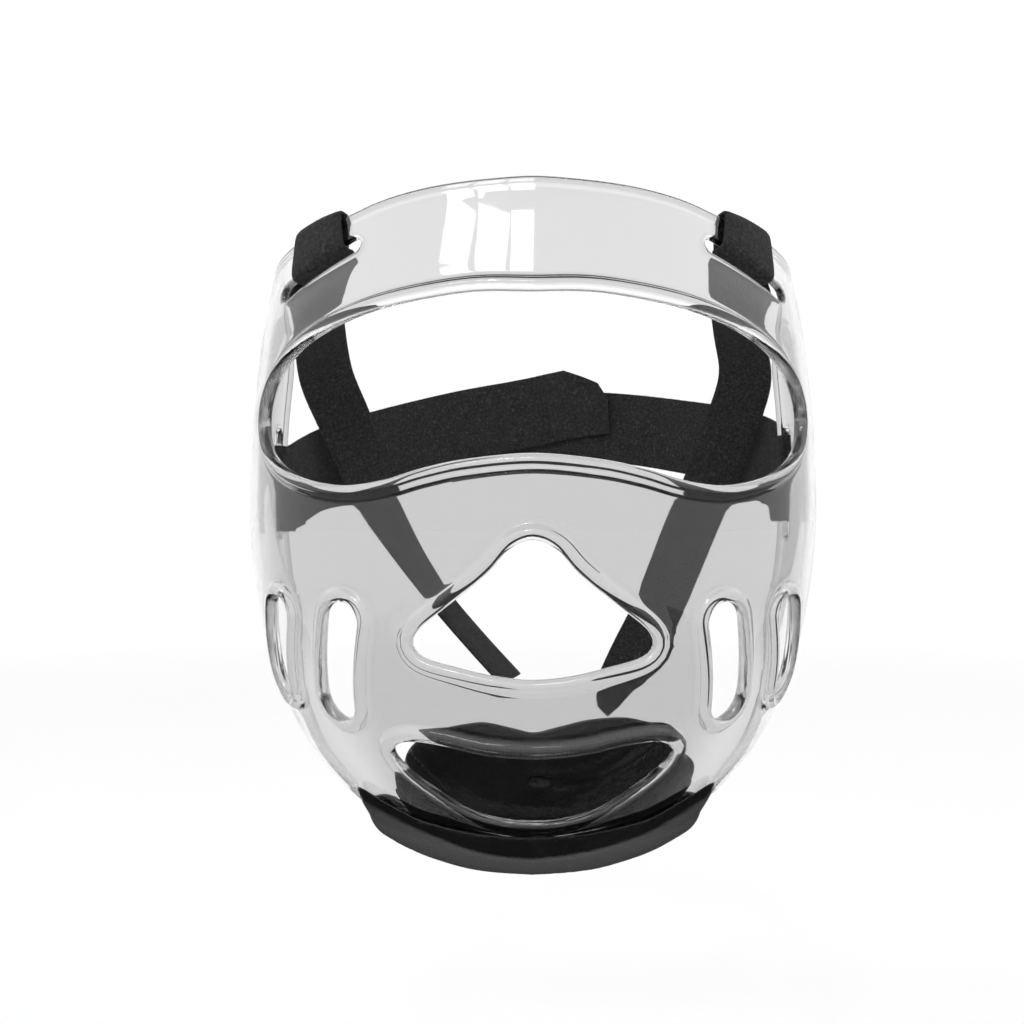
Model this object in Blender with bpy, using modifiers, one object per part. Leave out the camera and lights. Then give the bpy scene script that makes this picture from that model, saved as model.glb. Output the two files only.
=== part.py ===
"""Clear face guard with a padded chin bolster and a hook-and-loop strap harness.

World frame: +Z up, the front faces -Y, and the origin is the middle of the space for the head.
Sizes in the tables are in millimetres, and MM turns them into the metres of the meshes.
"""
import math
from collections import namedtuple

import bpy
import bmesh
from mathutils import Matrix, Vector

MM = 0.001

# Driving sizes of the clear shell
WALL = 2.5                 # thickness of the plastic wall
PLAN_POWER = 2.2           # roundness of the plan section, where 2 is an ellipse
REAR_ANGLE = 104.0         # the side edges, in degrees round from the front
HALF_COLUMNS = 19          # columns of the wall on each side of the middle
SHELL_ROWS = 17
OUTLINE_STEPS = 2          # points per span of the outline of a middle opening
RIM_RADIUS = 2.2           # rolled rim round each opening
RIM_OUT = RIM_RADIUS - WALL / 2    # keeps the rim flush with the inside of the wall

# Driving sizes of the harness and the padding
STRAP_WIDTH = 22.0
BAND_WIDTH = 32.0
WEB = 1.5                  # thickness of the strap cloth
SEAT_GAP = 0.85            # between a strap and the bar it is folded round
FIT_GAP = 0.35             # between two pieces that lie on each other

Section = namedtuple("Section", "z half_width front centre")
# Plan sections of the shell's middle surface: half width, and where its front and its centre lie on Y
SHELL_SECTIONS = (
    Section(-110, 38.5, -74.0, -46.0),
    Section(-100, 48.0, -82.0, -43.0),
    Section(-87, 61.8, -91.0, -38.5),
    Section(-72, 75.8, -98.0, -34.0),
    Section(-50, 87.6, -103.5, -28.0),
    Section(-25, 94.5, -105.0, -25.0),
    Section(0, 97.3, -105.0, -25.0),
    Section(25, 97.0, -104.0, -25.0),
    Section(50, 95.0, -101.0, -25.0),
    Section(75, 91.5, -96.5, -25.0),
    Section(106, 84.0, -88.0, -25.0),
)

Edge = namedtuple("Edge", "angle bottom top")
# Lower and upper edge of the shell, by the angle round from the front
SHELL_EDGES = (
    Edge(0, -101.2, 106.0),
    Edge(25, -100.0, 103.5),
    Edge(40, -97.2, 100.0),
    Edge(49, -94.7, 95.9),
    Edge(54, -92.8, 94.6),
    Edge(60, -90.2, 92.6),
    Edge(67, -87.6, 90.4),
    Edge(73, -85.4, 88.8),
    Edge(80, -80.5, 86.5),
    Edge(88, -70.5, 82.5),
    Edge(96, -54.0, 75.5),
    Edge(REAR_ANGLE, -29.5, 62.0),
)

Rim = namedtuple("Rim", "angle z")
# Clear edge of each middle opening, right half only, from its top to its bottom
EYE_OPENING = (
    Rim(0, 68.5), Rim(13, 68.6), Rim(25, 66.8), Rim(36, 64.0), Rim(46, 59.6), Rim(55, 53.2), Rim(61.5, 45.0),
    Rim(63.8, 35.5), Rim(61.5, 25.5), Rim(55.5, 18.4), Rim(48, 14.0), Rim(39.5, 11.9), Rim(31, 13.2),
    Rim(23, 16.4), Rim(14, 19.0), Rim(0, 20.7),
)
NOSE_VENT = (
    Rim(0, -4.3), Rim(4.6, -6.8), Rim(8.6, -13.0), Rim(13, -18.5), Rim(18.5, -24.6), Rim(23.4, -30.2),
    Rim(25.0, -34.6), Rim(22.8, -38.4), Rim(15.4, -41.3), Rim(7.5, -43.6), Rim(0, -44.5),
)
MOUTH_VENT = (
    Rim(0, -68.0), Rim(12, -66.9), Rim(22, -64.4), Rim(30, -63.8), Rim(34.5, -66.6), Rim(33.6, -71.6),
    Rim(28.0, -78.6), Rim(20, -85.2), Rim(10, -88.2), Rim(0, -88.9),
)

Slot = namedtuple("Slot", "name top_angle top_z low_angle low_z width rim")
# Slots of each side by the middles of their two round ends
SIDE_SLOTS = (
    Slot("cheek", 40.4, -28.6, 44.4, -52.6, 11.4, True),
    Slot("jaw", 58.5, -27.5, 64.0, -49.0, 10.6, True),
    Slot("temple", 98.6, 33.5, 98.6, -2.5, 4.6, False),
    Slot("crown", 43.9, 85.9, 62.6, 74.2, 4.6, False),
)

Pose = namedtuple("Pose", "x y z wide_x wide_y wide_z")
# Top straps behind their slots: middle of the cloth, and the direction of its width towards the face
LEFT_STRAP_ROUTE = (
    Pose(-66.5, -59.5, 80.8, 0.80, -0.42, 0.42),
    Pose(-73.8, -36.0, 80.0, 0.82, -0.24, 0.49),
    Pose(-79.3, -10.0, 77.2, 0.76, 0.05, 0.60),
    Pose(-82.4, 10.0, 70.0, 0.80, 0.25, 0.52),
    Pose(-82.6, 26.0, 58.0, 0.86, 0.35, 0.36),
    Pose(-76.4, 36.0, 40.5, 0.86, 0.36, 0.36),
    Pose(-67.8, 47.0, 14.7, 0.62, 0.70, 0.36),
    Pose(-55.3, 52.0, -8.5, 0.42, 0.86, 0.25),
    Pose(-40.4, 52.0, -30.2, 0.27, 0.94, 0.20),
    Pose(-24.5, 49.0, -48.6, 0.23, 0.95, 0.20),
    Pose(-9.3, 44.7, -64.6, 0.22, 0.95, 0.20),
)
RIGHT_STRAP_ROUTE = (
    Pose(67.0, -60.0, 80.8, -0.80, -0.42, 0.42),
    Pose(71.0, -36.0, 79.6, -0.86, -0.20, 0.47),
    Pose(75.5, -10.0, 77.6, -0.88, 0.05, 0.48),
    Pose(80.0, 8.0, 71.5, -0.88, 0.22, 0.44),
    Pose(84.0, 19.0, 59.5, -0.84, 0.42, 0.32),
    Pose(82.0, 26.0, 46.5, -0.84, 0.48, 0.20),
    Pose(75.0, 40.0, 21.0, -0.95, 0.20, 0.24),
    Pose(65.0, 47.0, -5.0, -0.90, 0.25, 0.34),
    Pose(53.8, 50.0, -33.5, -0.80, 0.45, 0.36),
    Pose(42.4, 49.0, -57.0, -0.84, 0.34, 0.38),
    Pose(31.4, 46.0, -80.6, -0.84, 0.30, 0.38),
)
LEFT_STRAP_END = (0.0, 0.0, 0.0, 0.0, 0.0)
RIGHT_STRAP_END = (1.3, 0.6, 0.0, 0.13, 0.5)   # stations cut off its pointed end, from the outer edge
STRAP_SHARES = (-1.0, -0.5, 0.0, 0.5, 1.0)      # columns of a strap across its half width
CUT_REACH = 1.5            # stations over which a pointed end tapers
CROWN_OUTER_ANGLE = 60.7   # the strap's two edges where it crosses the bar above its slot
CROWN_INNER_ANGLE = 47.3
CROWN_LEAN = 2.6           # the strap leans this many degrees outwards on its way to the top edge
FOLD_REACH = (0.75, 1.4, 1.9, 2.3)     # where the folded end lies along the route, by its stations
FOLD_LIFT = (3.7, 1.85, 1.85, 1.85)    # and how far above the route

Level = namedtuple("Level", "turn z")
# Middle height of each half of the rear band by its turn, where 0 is the side and 90 the middle of the back
LEFT_BAND_LEVELS = (Level(0, 13.5), Level(12, 15.0), Level(25, 23.0), Level(45, 34.0), Level(70, 46.0),
                    Level(90, 53.0), Level(100, 56.5), Level(111, 58.5))
RIGHT_BAND_LEVELS = (Level(0, 17.5), Level(12, 24.0), Level(25, 31.0), Level(45, 38.5), Level(70, 45.5),
                     Level(90, 46.5), Level(104, 44.0), Level(114, 40.0))
BAND_HALF_WIDTH = 98.0     # the loop that the rear band makes round the back of the head
BAND_START = -6.0
BAND_BACK = 104.0
BAND_GAP = 0.95            # between the halves where they overlap
BAND_OVERLAP = (40.0, 60.0)  # over these turns the halves part, the left one inside and the right one outside
LEFT_BAND_ENDS = (111.0, 111.0, 111.0, 108.5, 100.0)   # end of each fifth of its width, from the lower edge up
RIGHT_BAND_ENDS = (114.0, 114.0, 114.0, 114.0, 114.0)
BAND_FOLD_TURNS = (9.8, 14.0)      # the folded end of each half lies along these turns
BAND_TURNS = BAND_FOLD_TURNS + tuple(20.0 + 6.5 * k for k in range(12))
TEMPLE_BAR = 99.96         # front edge of the bar between the temple slot and the side edge

# Chin padding
ROLL_LEFT_END = 61.5       # the roll ends this far round on the left
ROLL_RIGHT_END = 63.0
ROLL_STEPS = 26
ROLL_HEIGHT = 13.0
ROLL_DEPTH = 13.0
ROLL_POWER = 2.4
ROLL_TAPER_FROM = 40.0     # from this angle on the roll gets thinner towards its ends
ROLL_TAPER = 0.30          # by this share of its depth
ROLL_LIP = 2.8             # its outer side climbs up the wall this far above its inner side
LEFT_END_LIP = 10.0
RIGHT_END_LIP = 11.0
GROOVE_GAP = 0.42
GROOVE_ROWS = 3            # rows of the shell that the groove follows
CUP_THICK = 8.0
CUP_GAP = 0.5
CUP_STEPS = 26
CUP_POWER = 3.2
CUP_ABOVE_EDGE = 3.2       # the cup's lower edge lies this far above the shell's
SECTION_POINTS = 12        # of the roll and of the cup
CupEdge = namedtuple("CupEdge", "angle top")
CUP_EDGES = (
    CupEdge(-44.5, -83.0),
    CupEdge(-42, -78.5),
    CupEdge(-38, -75.0),
    CupEdge(-34, -69.5),
    CupEdge(-27.5, -64.7),
    CupEdge(-22, -62.3),
    CupEdge(-16.5, -60.6),
    CupEdge(-12, -60.0),
    CupEdge(-5, -61.8),
    CupEdge(0, -63.2),
    CupEdge(7, -61.2),
    CupEdge(14, -59.2),
    CupEdge(23, -58.9),
    CupEdge(30.5, -61.3),
    CupEdge(35.5, -62.8),
    CupEdge(38, -66.5),
    CupEdge(41, -70.5),
    CupEdge(44, -73.0),
    CupEdge(48.3, -75.5),
    CupEdge(51, -81.0),
)

Finish = namedtuple("Finish", "colour alpha roughness")
CLEAR_PLASTIC = Finish((0.90, 0.91, 0.92), 0.30, 0.05)
STRAP_CLOTH = Finish((0.035, 0.035, 0.037), 1.0, 0.92)
BLACK_VINYL = Finish((0.012, 0.012, 0.013), 1.0, 0.28)
CUP_VINYL = Finish((0.018, 0.018, 0.019), 1.0, 0.38)


def blend(xs, ys, x):
    """Smooth curve through the points of a short table."""
    x = min(max(x, xs[0]), xs[-1])
    last = len(xs) - 1
    i = max(k for k in range(last) if xs[k] <= x)

    def slope(k):
        low, high = max(k - 1, 0), min(k + 1, last)
        return (ys[high] - ys[low]) / (xs[high] - xs[low])

    span = xs[i + 1] - xs[i]
    t = (x - xs[i]) / span
    rise = (2 * t ** 3 - 3 * t ** 2 + 1) * ys[i] + (3 * t ** 2 - 2 * t ** 3) * ys[i + 1]
    return rise + span * ((t ** 3 - 2 * t ** 2 + t) * slope(i) + (t ** 3 - t ** 2) * slope(i + 1))


def ease(x, start, end):
    """Smooth step from 0 at start to 1 at end."""
    t = min(max((x - start) / (end - start), 0.0), 1.0)
    return t * t * (3 - 2 * t)


def column(table, name):
    return [getattr(row, name) for row in table]


def lookup(table, key, name, x):
    return blend(column(table, key), column(table, name), x)


def shell_point(angle, z, out=0.0):
    """Point on the shell's middle surface, or out millimetres outside it."""
    half_width = lookup(SHELL_SECTIONS, "z", "half_width", z)
    centre = lookup(SHELL_SECTIONS, "z", "centre", z)
    depth = centre - lookup(SHELL_SECTIONS, "z", "front", z)
    a = math.radians(angle)
    side, ahead = abs(math.sin(a)) / half_width, abs(math.cos(a)) / depth
    reach = (side ** PLAN_POWER + ahead ** PLAN_POWER) ** (-1 / PLAN_POWER)
    point = Vector((reach * math.sin(a), centre - reach * math.cos(a), z))
    if out:
        point += shell_normal(angle, z) * out
    return point


def shell_normal(angle, z, step=0.5):
    across = shell_point(angle + step, z) - shell_point(angle - step, z)
    up = shell_point(angle, z + step) - shell_point(angle, z - step)
    return across.cross(up).normalized()


def mirrored(point):
    return Vector((-point.x, point.y, point.z))


def full_outline(half):
    """Closed outline from the right half of one, as (angle, z) pairs that run clockwise from the top."""
    right = [(row.angle, row.z) for row in half]
    left = [(-angle, z) for angle, z in reversed(right[1:-1])]
    return right + left


def slot_outline(slot, steps=7):
    """Stadium with round ends at the slot's two middles."""
    reach = shell_reach((slot.top_angle + slot.low_angle) / 2, (slot.top_z + slot.low_z) / 2)
    per_degree = math.radians(reach)
    run = Vector(((slot.low_angle - slot.top_angle) * per_degree, slot.low_z - slot.top_z)).normalized()
    outline = []
    for end, angle, z in ((-1, slot.top_angle, slot.top_z), (1, slot.low_angle, slot.low_z)):
        for k in range(steps + 1):
            turn = math.pi * (k / steps - 0.5)
            offset = run * (end * math.cos(turn)) + Vector((run.y, -run.x)) * (end * math.sin(turn))
            outline.append((angle + offset.x * slot.width / 2 / per_degree, z + offset.y * slot.width / 2))
    return outline


def shell_reach(angle, z):
    """Local radius of the plan section, which turns degrees into millimetres along the wall."""
    step = 0.5
    return (shell_point(angle + step, z) - shell_point(angle - step, z)).length / math.radians(2 * step)


def smooth_loop(points, per_span):
    """Closed smooth curve through a list of (angle, z) pairs."""
    loop = []
    count = len(points)
    for i in range(count):
        p0, p1, p2, p3 = (Vector(points[(i + k) % count]) for k in (-1, 0, 1, 2))
        for k in range(per_span):
            t = k / per_span
            p = p1 * 2 + (p2 - p0) * t
            p += (p0 * 2 - p1 * 5 + p2 * 4 - p3) * t * t
            p += (p1 * 3 - p0 - p2 * 3 + p3) * t ** 3
            loop.append(p / 2)
    return loop


def grown_loop(loop, distance):
    """The loop moved outwards by a distance in millimetres along the wall."""
    count = len(loop)
    flat = [Vector((math.radians(p[0]) * shell_reach(p[0], p[1]), p[1])) for p in loop]
    area = sum(flat[i].x * flat[(i + 1) % count].y - flat[(i + 1) % count].x * flat[i].y for i in range(count))
    side = 1 if area > 0 else -1
    grown = []
    for i in range(count):
        along = (flat[(i + 1) % count] - flat[i - 1]).normalized()
        outward = Vector((along.y, -along.x)) * side
        reach = math.radians(shell_reach(loop[i][0], loop[i][1]))
        grown.append((loop[i][0] + outward.x * distance / reach, loop[i][1] + outward.y * distance))
    return grown


def clear_scene():
    for thing in list(bpy.data.objects):
        bpy.data.objects.remove(thing, do_unlink=True)


def new_collection(name):
    group = bpy.data.collections.new(name)
    bpy.context.scene.collection.children.link(group)
    return group


def new_material(name, finish):
    material = bpy.data.materials.new(name)
    material.use_nodes = True
    shader = material.node_tree.nodes["Principled BSDF"]
    shader.inputs["Base Color"].default_value = (*finish.colour, 1.0)
    shader.inputs["Alpha"].default_value = finish.alpha
    shader.inputs["Roughness"].default_value = finish.roughness
    shader.inputs["Metallic"].default_value = 0.0
    return material


def grid_object(name, rows, group, closed_rows=False):
    """Open surface through rows of points in millimetres."""
    mesh = bpy.data.meshes.new(name)
    bm = bmesh.new()
    grid = [[bm.verts.new(p * MM) for p in row] for row in rows]
    for r in range(len(grid) - 1):
        width = len(grid[r])
        for c in range(width if closed_rows else width - 1):
            n = (c + 1) % width
            bm.faces.new((grid[r][c], grid[r][n], grid[r + 1][n], grid[r + 1][c]))
    if closed_rows:
        bm.faces.new(list(reversed(grid[0])))
        bm.faces.new(grid[-1])
        bmesh.ops.recalc_face_normals(bm, faces=bm.faces)
    bm.normal_update()
    bm.to_mesh(mesh)
    bm.free()
    thing = bpy.data.objects.new(name, mesh)
    group.objects.link(thing)
    return thing


def thicken(thing, thickness):
    solid = thing.modifiers.new("wall", 'SOLIDIFY')
    solid.thickness = thickness * MM
    solid.offset = 0.0
    solid.use_even_offset = True
    return solid


def apply_modifiers(thing):
    """Replace the mesh with what its modifiers make of it."""
    graph = bpy.context.evaluated_depsgraph_get()
    graph.update()
    mesh = bpy.data.meshes.new_from_object(thing.evaluated_get(graph))
    thing.modifiers.clear()
    thing.data = mesh


def curve_to_mesh(thing, group):
    """Mesh object in the place of a curve object, with its caps welded."""
    bpy.context.view_layer.update()
    graph = bpy.context.evaluated_depsgraph_get()
    mesh = bpy.data.meshes.new_from_object(thing.evaluated_get(graph))
    bm = bmesh.new()
    bm.from_mesh(mesh)
    bmesh.ops.remove_doubles(bm, verts=bm.verts, dist=0.000001)
    bmesh.ops.recalc_face_normals(bm, faces=bm.faces)
    bm.to_mesh(mesh)
    bm.free()
    solid = bpy.data.objects.new(thing.name + "_solid", mesh)
    solid.matrix_world = thing.matrix_world
    group.objects.link(solid)
    bpy.data.objects.remove(thing, do_unlink=True)
    return solid


def hide_tool(thing):
    thing.hide_render = True
    thing.display_type = 'WIRE'


def boolean(thing, tool, operation):
    hide_tool(tool)
    change = thing.modifiers.new(tool.name, 'BOOLEAN')
    change.operation = operation
    change.object = tool
    change.solver = 'EXACT'


def punch(name, loop, ahead, group, depth=40.0):
    """Prism through a (angle, z) loop, along the direction ahead that faces out of the shell."""
    points = [shell_point(angle, z) for angle, z in loop]
    middle = sum(points, Vector()) / len(points)
    side = ahead.cross(Vector((0, 0, 1))).normalized()
    up = side.cross(ahead)
    frame = Matrix((side, up, ahead)).transposed().to_4x4()
    frame.translation = middle * MM
    flat = bpy.data.curves.new(name, 'CURVE')
    flat.dimensions = '2D'
    flat.fill_mode = 'BOTH'
    flat.extrude = depth * MM
    spline = flat.splines.new('POLY')
    spline.points.add(len(points) - 1)
    for slot, point in zip(spline.points, points):
        offset = point - middle
        slot.co = (offset.dot(side) * MM, offset.dot(up) * MM, 0.0, 1.0)
    spline.use_cyclic_u = True
    thing = bpy.data.objects.new(name, flat)
    thing.matrix_world = frame
    group.objects.link(thing)
    return curve_to_mesh(thing, group)


def rim_tube(name, loop, group):
    """Rolled rim that follows a closed (angle, z) loop."""
    tube = bpy.data.curves.new(name, 'CURVE')
    tube.dimensions = '3D'
    tube.bevel_depth = RIM_RADIUS * MM
    tube.bevel_resolution = 1
    spline = tube.splines.new('POLY')
    spline.points.add(len(loop) - 1)
    for slot, (angle, z) in zip(spline.points, loop):
        slot.co = (*(shell_point(angle, z, RIM_OUT) * MM), 1.0)
    spline.use_cyclic_u = True
    thing = bpy.data.objects.new(name, tube)
    group.objects.link(thing)
    return curve_to_mesh(thing, group)


def shell_angles():
    """Angles of the shell's columns, evenly spaced on both sides of the middle."""
    right = [REAR_ANGLE * k / HALF_COLUMNS for k in range(1, HALF_COLUMNS + 1)]
    return [-a for a in reversed(right)] + [0.0] + right


def shell_rows():
    grid = []
    for k in range(SHELL_ROWS + 1):
        row = []
        for angle in shell_angles():
            bottom = lookup(SHELL_EDGES, "angle", "bottom", abs(angle))
            top = lookup(SHELL_EDGES, "angle", "top", abs(angle))
            row.append(shell_point(angle, bottom + (top - bottom) * k / SHELL_ROWS))
        grid.append(row)
    return grid


def opening_loops():
    """Name, clear edge, cutting direction and rim of every opening of the shell."""
    openings = []
    for name, half in (("eye", EYE_OPENING), ("nose", NOSE_VENT), ("mouth", MOUTH_VENT)):
        openings.append((name, smooth_loop(full_outline(half), OUTLINE_STEPS), Vector((0, -1, 0)), True))
    for slot in SIDE_SLOTS:
        right = slot_outline(slot)
        middle_angle = (slot.top_angle + slot.low_angle) / 2
        ahead = shell_normal(middle_angle, (slot.top_z + slot.low_z) / 2)
        openings.append((slot.name + "_right", right, ahead, slot.rim))
        left = [(-angle, z) for angle, z in right]
        openings.append((slot.name + "_left", left, mirrored(ahead), slot.rim))
    return openings


def make_shell(group, cutters):
    shell = grid_object("face_shell", shell_rows(), group)
    thicken(shell, WALL)
    rims = []
    for name, loop, ahead, has_rim in opening_loops():
        cut = grown_loop(loop, RIM_RADIUS) if has_rim else loop
        boolean(shell, punch(name + "_cut", cut, ahead, cutters), 'DIFFERENCE')
        if has_rim:
            rims.append(rim_tube(name + "_rim", grown_loop(loop, RIM_RADIUS), cutters))
    for rim in rims:
        boolean(shell, rim, 'UNION')
    apply_modifiers(shell)
    return shell


def ribbon(name, rows, group):
    """Strap of even thickness through rows of points across its width."""
    strap = grid_object(name, rows, group)
    thicken(strap, WEB)
    return strap


def bar_loop(bar_length):
    """Places round a bar, from inside the wall at its far edge, over that edge and back in at its near edge.

    Each is a distance from the bar's near edge and a distance out of the wall.
    """
    flat = WALL / 2 + SEAT_GAP + WEB / 2
    edge = SEAT_GAP + WEB / 2
    corner = edge * math.sqrt(0.5)
    inset = 1.0
    far = [(bar_length - inset, -flat), (bar_length + corner, -WALL / 2 - corner), (bar_length + edge, -1.0),
           (bar_length + edge, 1.0), (bar_length + corner, WALL / 2 + corner), (bar_length - inset, flat)]
    near = [(inset, flat), (-corner, WALL / 2 + corner), (-edge, 1.0), (-edge, -1.0),
            (-corner, -WALL / 2 - corner)]
    return far + [(bar_length / 2, flat)] + near


def smooth_route(route, place):
    """Middle and width direction at a place along a route, counted in its stations."""
    count = len(route)
    i = min(int(place), count - 2)
    t = place - i
    values = []
    for field in Pose._fields:
        p = [getattr(route[min(max(i + k, 0), count - 1)], field) for k in (-1, 0, 1, 2)]
        values.append(0.5 * (2 * p[1] + (p[2] - p[0]) * t + (2 * p[0] - 5 * p[1] + 4 * p[2] - p[3]) * t * t
                             + (3 * p[1] - p[0] - 3 * p[2] + p[3]) * t ** 3))
    return Vector(values[:3]), Vector(values[3:])


def route_frame(route, place):
    """Middle, width direction square to the route, and the side that faces up and out."""
    middle, wide = smooth_route(route, place)
    ahead = smooth_route(route, min(place + 0.1, len(route) - 1))[0]
    behind = smooth_route(route, max(place - 0.1, 0))[0]
    along = (ahead - behind).normalized()
    wide = (wide - along * wide.dot(along)).normalized()
    lift = wide.cross(along) if route[0].x < 0 else along.cross(wide)
    return middle, wide, lift


def slot_upper_edge(slot, angle):
    """Height of a slot's straight upper edge."""
    run = math.radians(slot.low_angle - slot.top_angle) * shell_reach(angle, slot.low_z)
    drop = slot.low_z - slot.top_z
    share = (angle - slot.top_angle) / (slot.low_angle - slot.top_angle)
    return slot.top_z + drop * share + slot.width / 2 * math.hypot(run, drop) / run


def crown_strap_rows(route, cut_off):
    """Rows of a top strap: folded end, over the bar above its slot, through the slot and along its route."""
    side = 1 if route[0].x > 0 else -1
    crown = [slot for slot in SIDE_SLOTS if slot.name == "crown"][0]
    rows = []
    for reach, lift in reversed(list(zip(FOLD_REACH, FOLD_LIFT))):
        middle, wide, up = route_frame(route, reach)
        rows.append([middle + up * lift + wide * (share * STRAP_WIDTH / 2) for share in STRAP_SHARES])
    for step in range(len(bar_loop(1.0))):
        row = []
        for share in STRAP_SHARES:
            low_angle = CROWN_OUTER_ANGLE + (CROWN_INNER_ANGLE - CROWN_OUTER_ANGLE) * (share + 1) / 2
            low_z = slot_upper_edge(crown, low_angle)
            top_angle = low_angle + CROWN_LEAN
            top_z = lookup(SHELL_EDGES, "angle", "top", top_angle)
            length = (shell_point(top_angle, top_z) - shell_point(low_angle, low_z)).length
            up, out = bar_loop(length)[step]
            angle = low_angle + (top_angle - low_angle) * up / length
            row.append(shell_point(side * angle, low_z + (top_z - low_z) * up / length, out))
        rows.append(row)
    per_station = 2
    last = len(route) - 1
    for k in range(last * per_station + 1):
        row = []
        for share, cut in zip(STRAP_SHARES, cut_off):
            place = k / per_station
            place -= cut * max(place - last + CUT_REACH, 0.0) / CUT_REACH
            middle, wide, up = route_frame(route, place)
            row.append(middle + wide * (share * STRAP_WIDTH / 2))
        rows.append(row)
    return rows


def band_point(levels, side, turn, across, lift=0.0):
    """Point of a rear band half by its turn round the head and its place across the width."""
    def middle(angle):
        a = math.radians(angle)
        return Vector((side * BAND_HALF_WIDTH * math.cos(a),
                       BAND_START + (BAND_BACK - BAND_START) * math.sin(a),
                       lookup(levels, "turn", "z", angle)))

    along = (middle(turn + 1) - middle(turn - 1)).normalized()
    wide = (Vector((0, 0, 1)) - along * along.z).normalized()
    out = wide.cross(along) * side
    lift += side * ease(turn, *BAND_OVERLAP) * (WEB + BAND_GAP) / 2
    return middle(turn) + wide * across - out * lift


def rear_band_rows(levels, side, ends):
    """Rows of a rear band half: folded end inside, through the temple slot, and back round the head."""
    across = [share * BAND_WIDTH / 2 for share in STRAP_SHARES]
    inside = WEB + FIT_GAP
    rows = []
    for turn in reversed(BAND_FOLD_TURNS):
        rows.append([band_point(levels, side, turn, w, -inside) for w in across])
    length = math.radians(REAR_ANGLE - TEMPLE_BAR) * shell_reach(REAR_ANGLE, levels[0].z)
    flat = WALL / 2 + SEAT_GAP + WEB / 2
    loop = [(back, -out) for back, out in bar_loop(length)[6:]]
    loop = [(length + 1.0, -flat), (length / 2, -flat)] + loop[1:] + [(length / 2, flat), (length + 1.0, flat)]
    for back_along, out in loop:
        angle = TEMPLE_BAR + (REAR_ANGLE - TEMPLE_BAR) * back_along / length
        rows.append([shell_point(side * angle, levels[0].z + w, out) for w in across])
    for turn in BAND_TURNS:
        rows.append([band_point(levels, side, turn, w) for w in across])
    last = BAND_TURNS[-1]
    for share in (0.5, 1.0):
        rows.append([band_point(levels, side, last + (end - last) * share, w)
                     for w, end in zip(across, ends)])
    return rows


def ring(count, power):
    """Closed outline of a rounded section with unit half sizes."""
    points = []
    for k in range(count):
        a = 2 * math.pi * k / count
        x, z = math.cos(a), math.sin(a)
        points.append((math.copysign(abs(x) ** (2 / power), x), math.copysign(abs(z) ** (2 / power), z)))
    return points


def roll_rows(grow=0.0):
    """Sections of the roll along the shell's lower edge, grown by a distance in millimetres."""
    rows = []
    for k in range(ROLL_STEPS + 1):
        t = 2 * k / ROLL_STEPS - 1
        end, end_lip = (ROLL_RIGHT_END, RIGHT_END_LIP) if t > 0 else (ROLL_LEFT_END, LEFT_END_LIP)
        angle = end * math.sin(t * math.pi / 2)
        taper = ease(abs(angle), ROLL_TAPER_FROM, end)
        tip = end_size(t, 16, 0.08)
        half_depth = ROLL_DEPTH / 2 * (1 - ROLL_TAPER * taper) * tip + grow
        half_height = ROLL_HEIGHT / 2 * tip + grow
        lip = (ROLL_LIP + (end_lip - ROLL_LIP) * taper) * tip
        z = lookup(SHELL_EDGES, "angle", "bottom", abs(angle))
        base, out = shell_point(angle, z), shell_normal(angle, z)
        level = Vector((out.x, out.y, 0)).normalized()
        climb = (shell_point(angle, z + 1) - base).normalized()
        row = []
        for n, h in ring(SECTION_POINTS, ROLL_POWER):
            rise = lip * max(h, 0.0) if n > -0.01 else 0.0
            row.append(base + level * (n * half_depth) + Vector((0, 0, h * half_height)) + climb * rise)
        rows.append(row)
    return rows


def end_size(t, power, smallest):
    """Size of a section that gets rounder and smaller close to both ends, at -1 and 1."""
    return math.sqrt(max(1 - abs(t) ** power, smallest))


def groove_rows():
    """Strip of the shell's lowest rows, a little deeper than the wall reaches."""
    rows = shell_rows()[:GROOVE_ROWS]
    rows[0] = [low + (low - high).normalized() * GROOVE_GAP for low, high in zip(rows[0], rows[1])]
    return rows


def make_roll(group, cutters):
    roll = grid_object("chin_roll", roll_rows(), group, closed_rows=True)
    groove = grid_object("groove", groove_rows(), cutters)
    thicken(groove, WALL + 2 * GROOVE_GAP)
    boolean(roll, groove, 'DIFFERENCE')
    apply_modifiers(roll)
    return roll


def make_cup(group, cutters):
    """Inner pad of the chin, hollowed where it rests on the roll."""
    cup = grid_object("chin_cup", cup_rows(), group, closed_rows=True)
    boolean(cup, grid_object("roll_space", roll_rows(FIT_GAP), cutters, closed_rows=True), 'DIFFERENCE')
    apply_modifiers(cup)
    return cup


def cup_rows():
    rows = []
    first, last = CUP_EDGES[0].angle, CUP_EDGES[-1].angle
    for k in range(CUP_STEPS + 1):
        t = 2 * k / CUP_STEPS - 1
        angle = (first + last) / 2 + (last - first) / 2 * math.sin(t * math.pi / 2)
        top = lookup(CUP_EDGES, "angle", "top", angle)
        bottom = lookup(SHELL_EDGES, "angle", "bottom", abs(angle)) + CUP_ABOVE_EDGE
        thick = CUP_THICK * end_size(t, 12, 0.1)
        row = []
        for n, h in ring(SECTION_POINTS, CUP_POWER):
            z = (top + bottom) / 2 + h * (top - bottom) / 2
            row.append(shell_point(angle, z, -WALL / 2 - CUP_GAP - thick / 2 * (1 + n)))
        rows.append(row)
    return rows


def finish_part(thing, material):
    thing.data.materials.clear()
    thing.data.materials.append(material)
    thing.data.shade_smooth()
    thing.data.set_sharp_from_angle(angle=math.radians(40))


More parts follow.
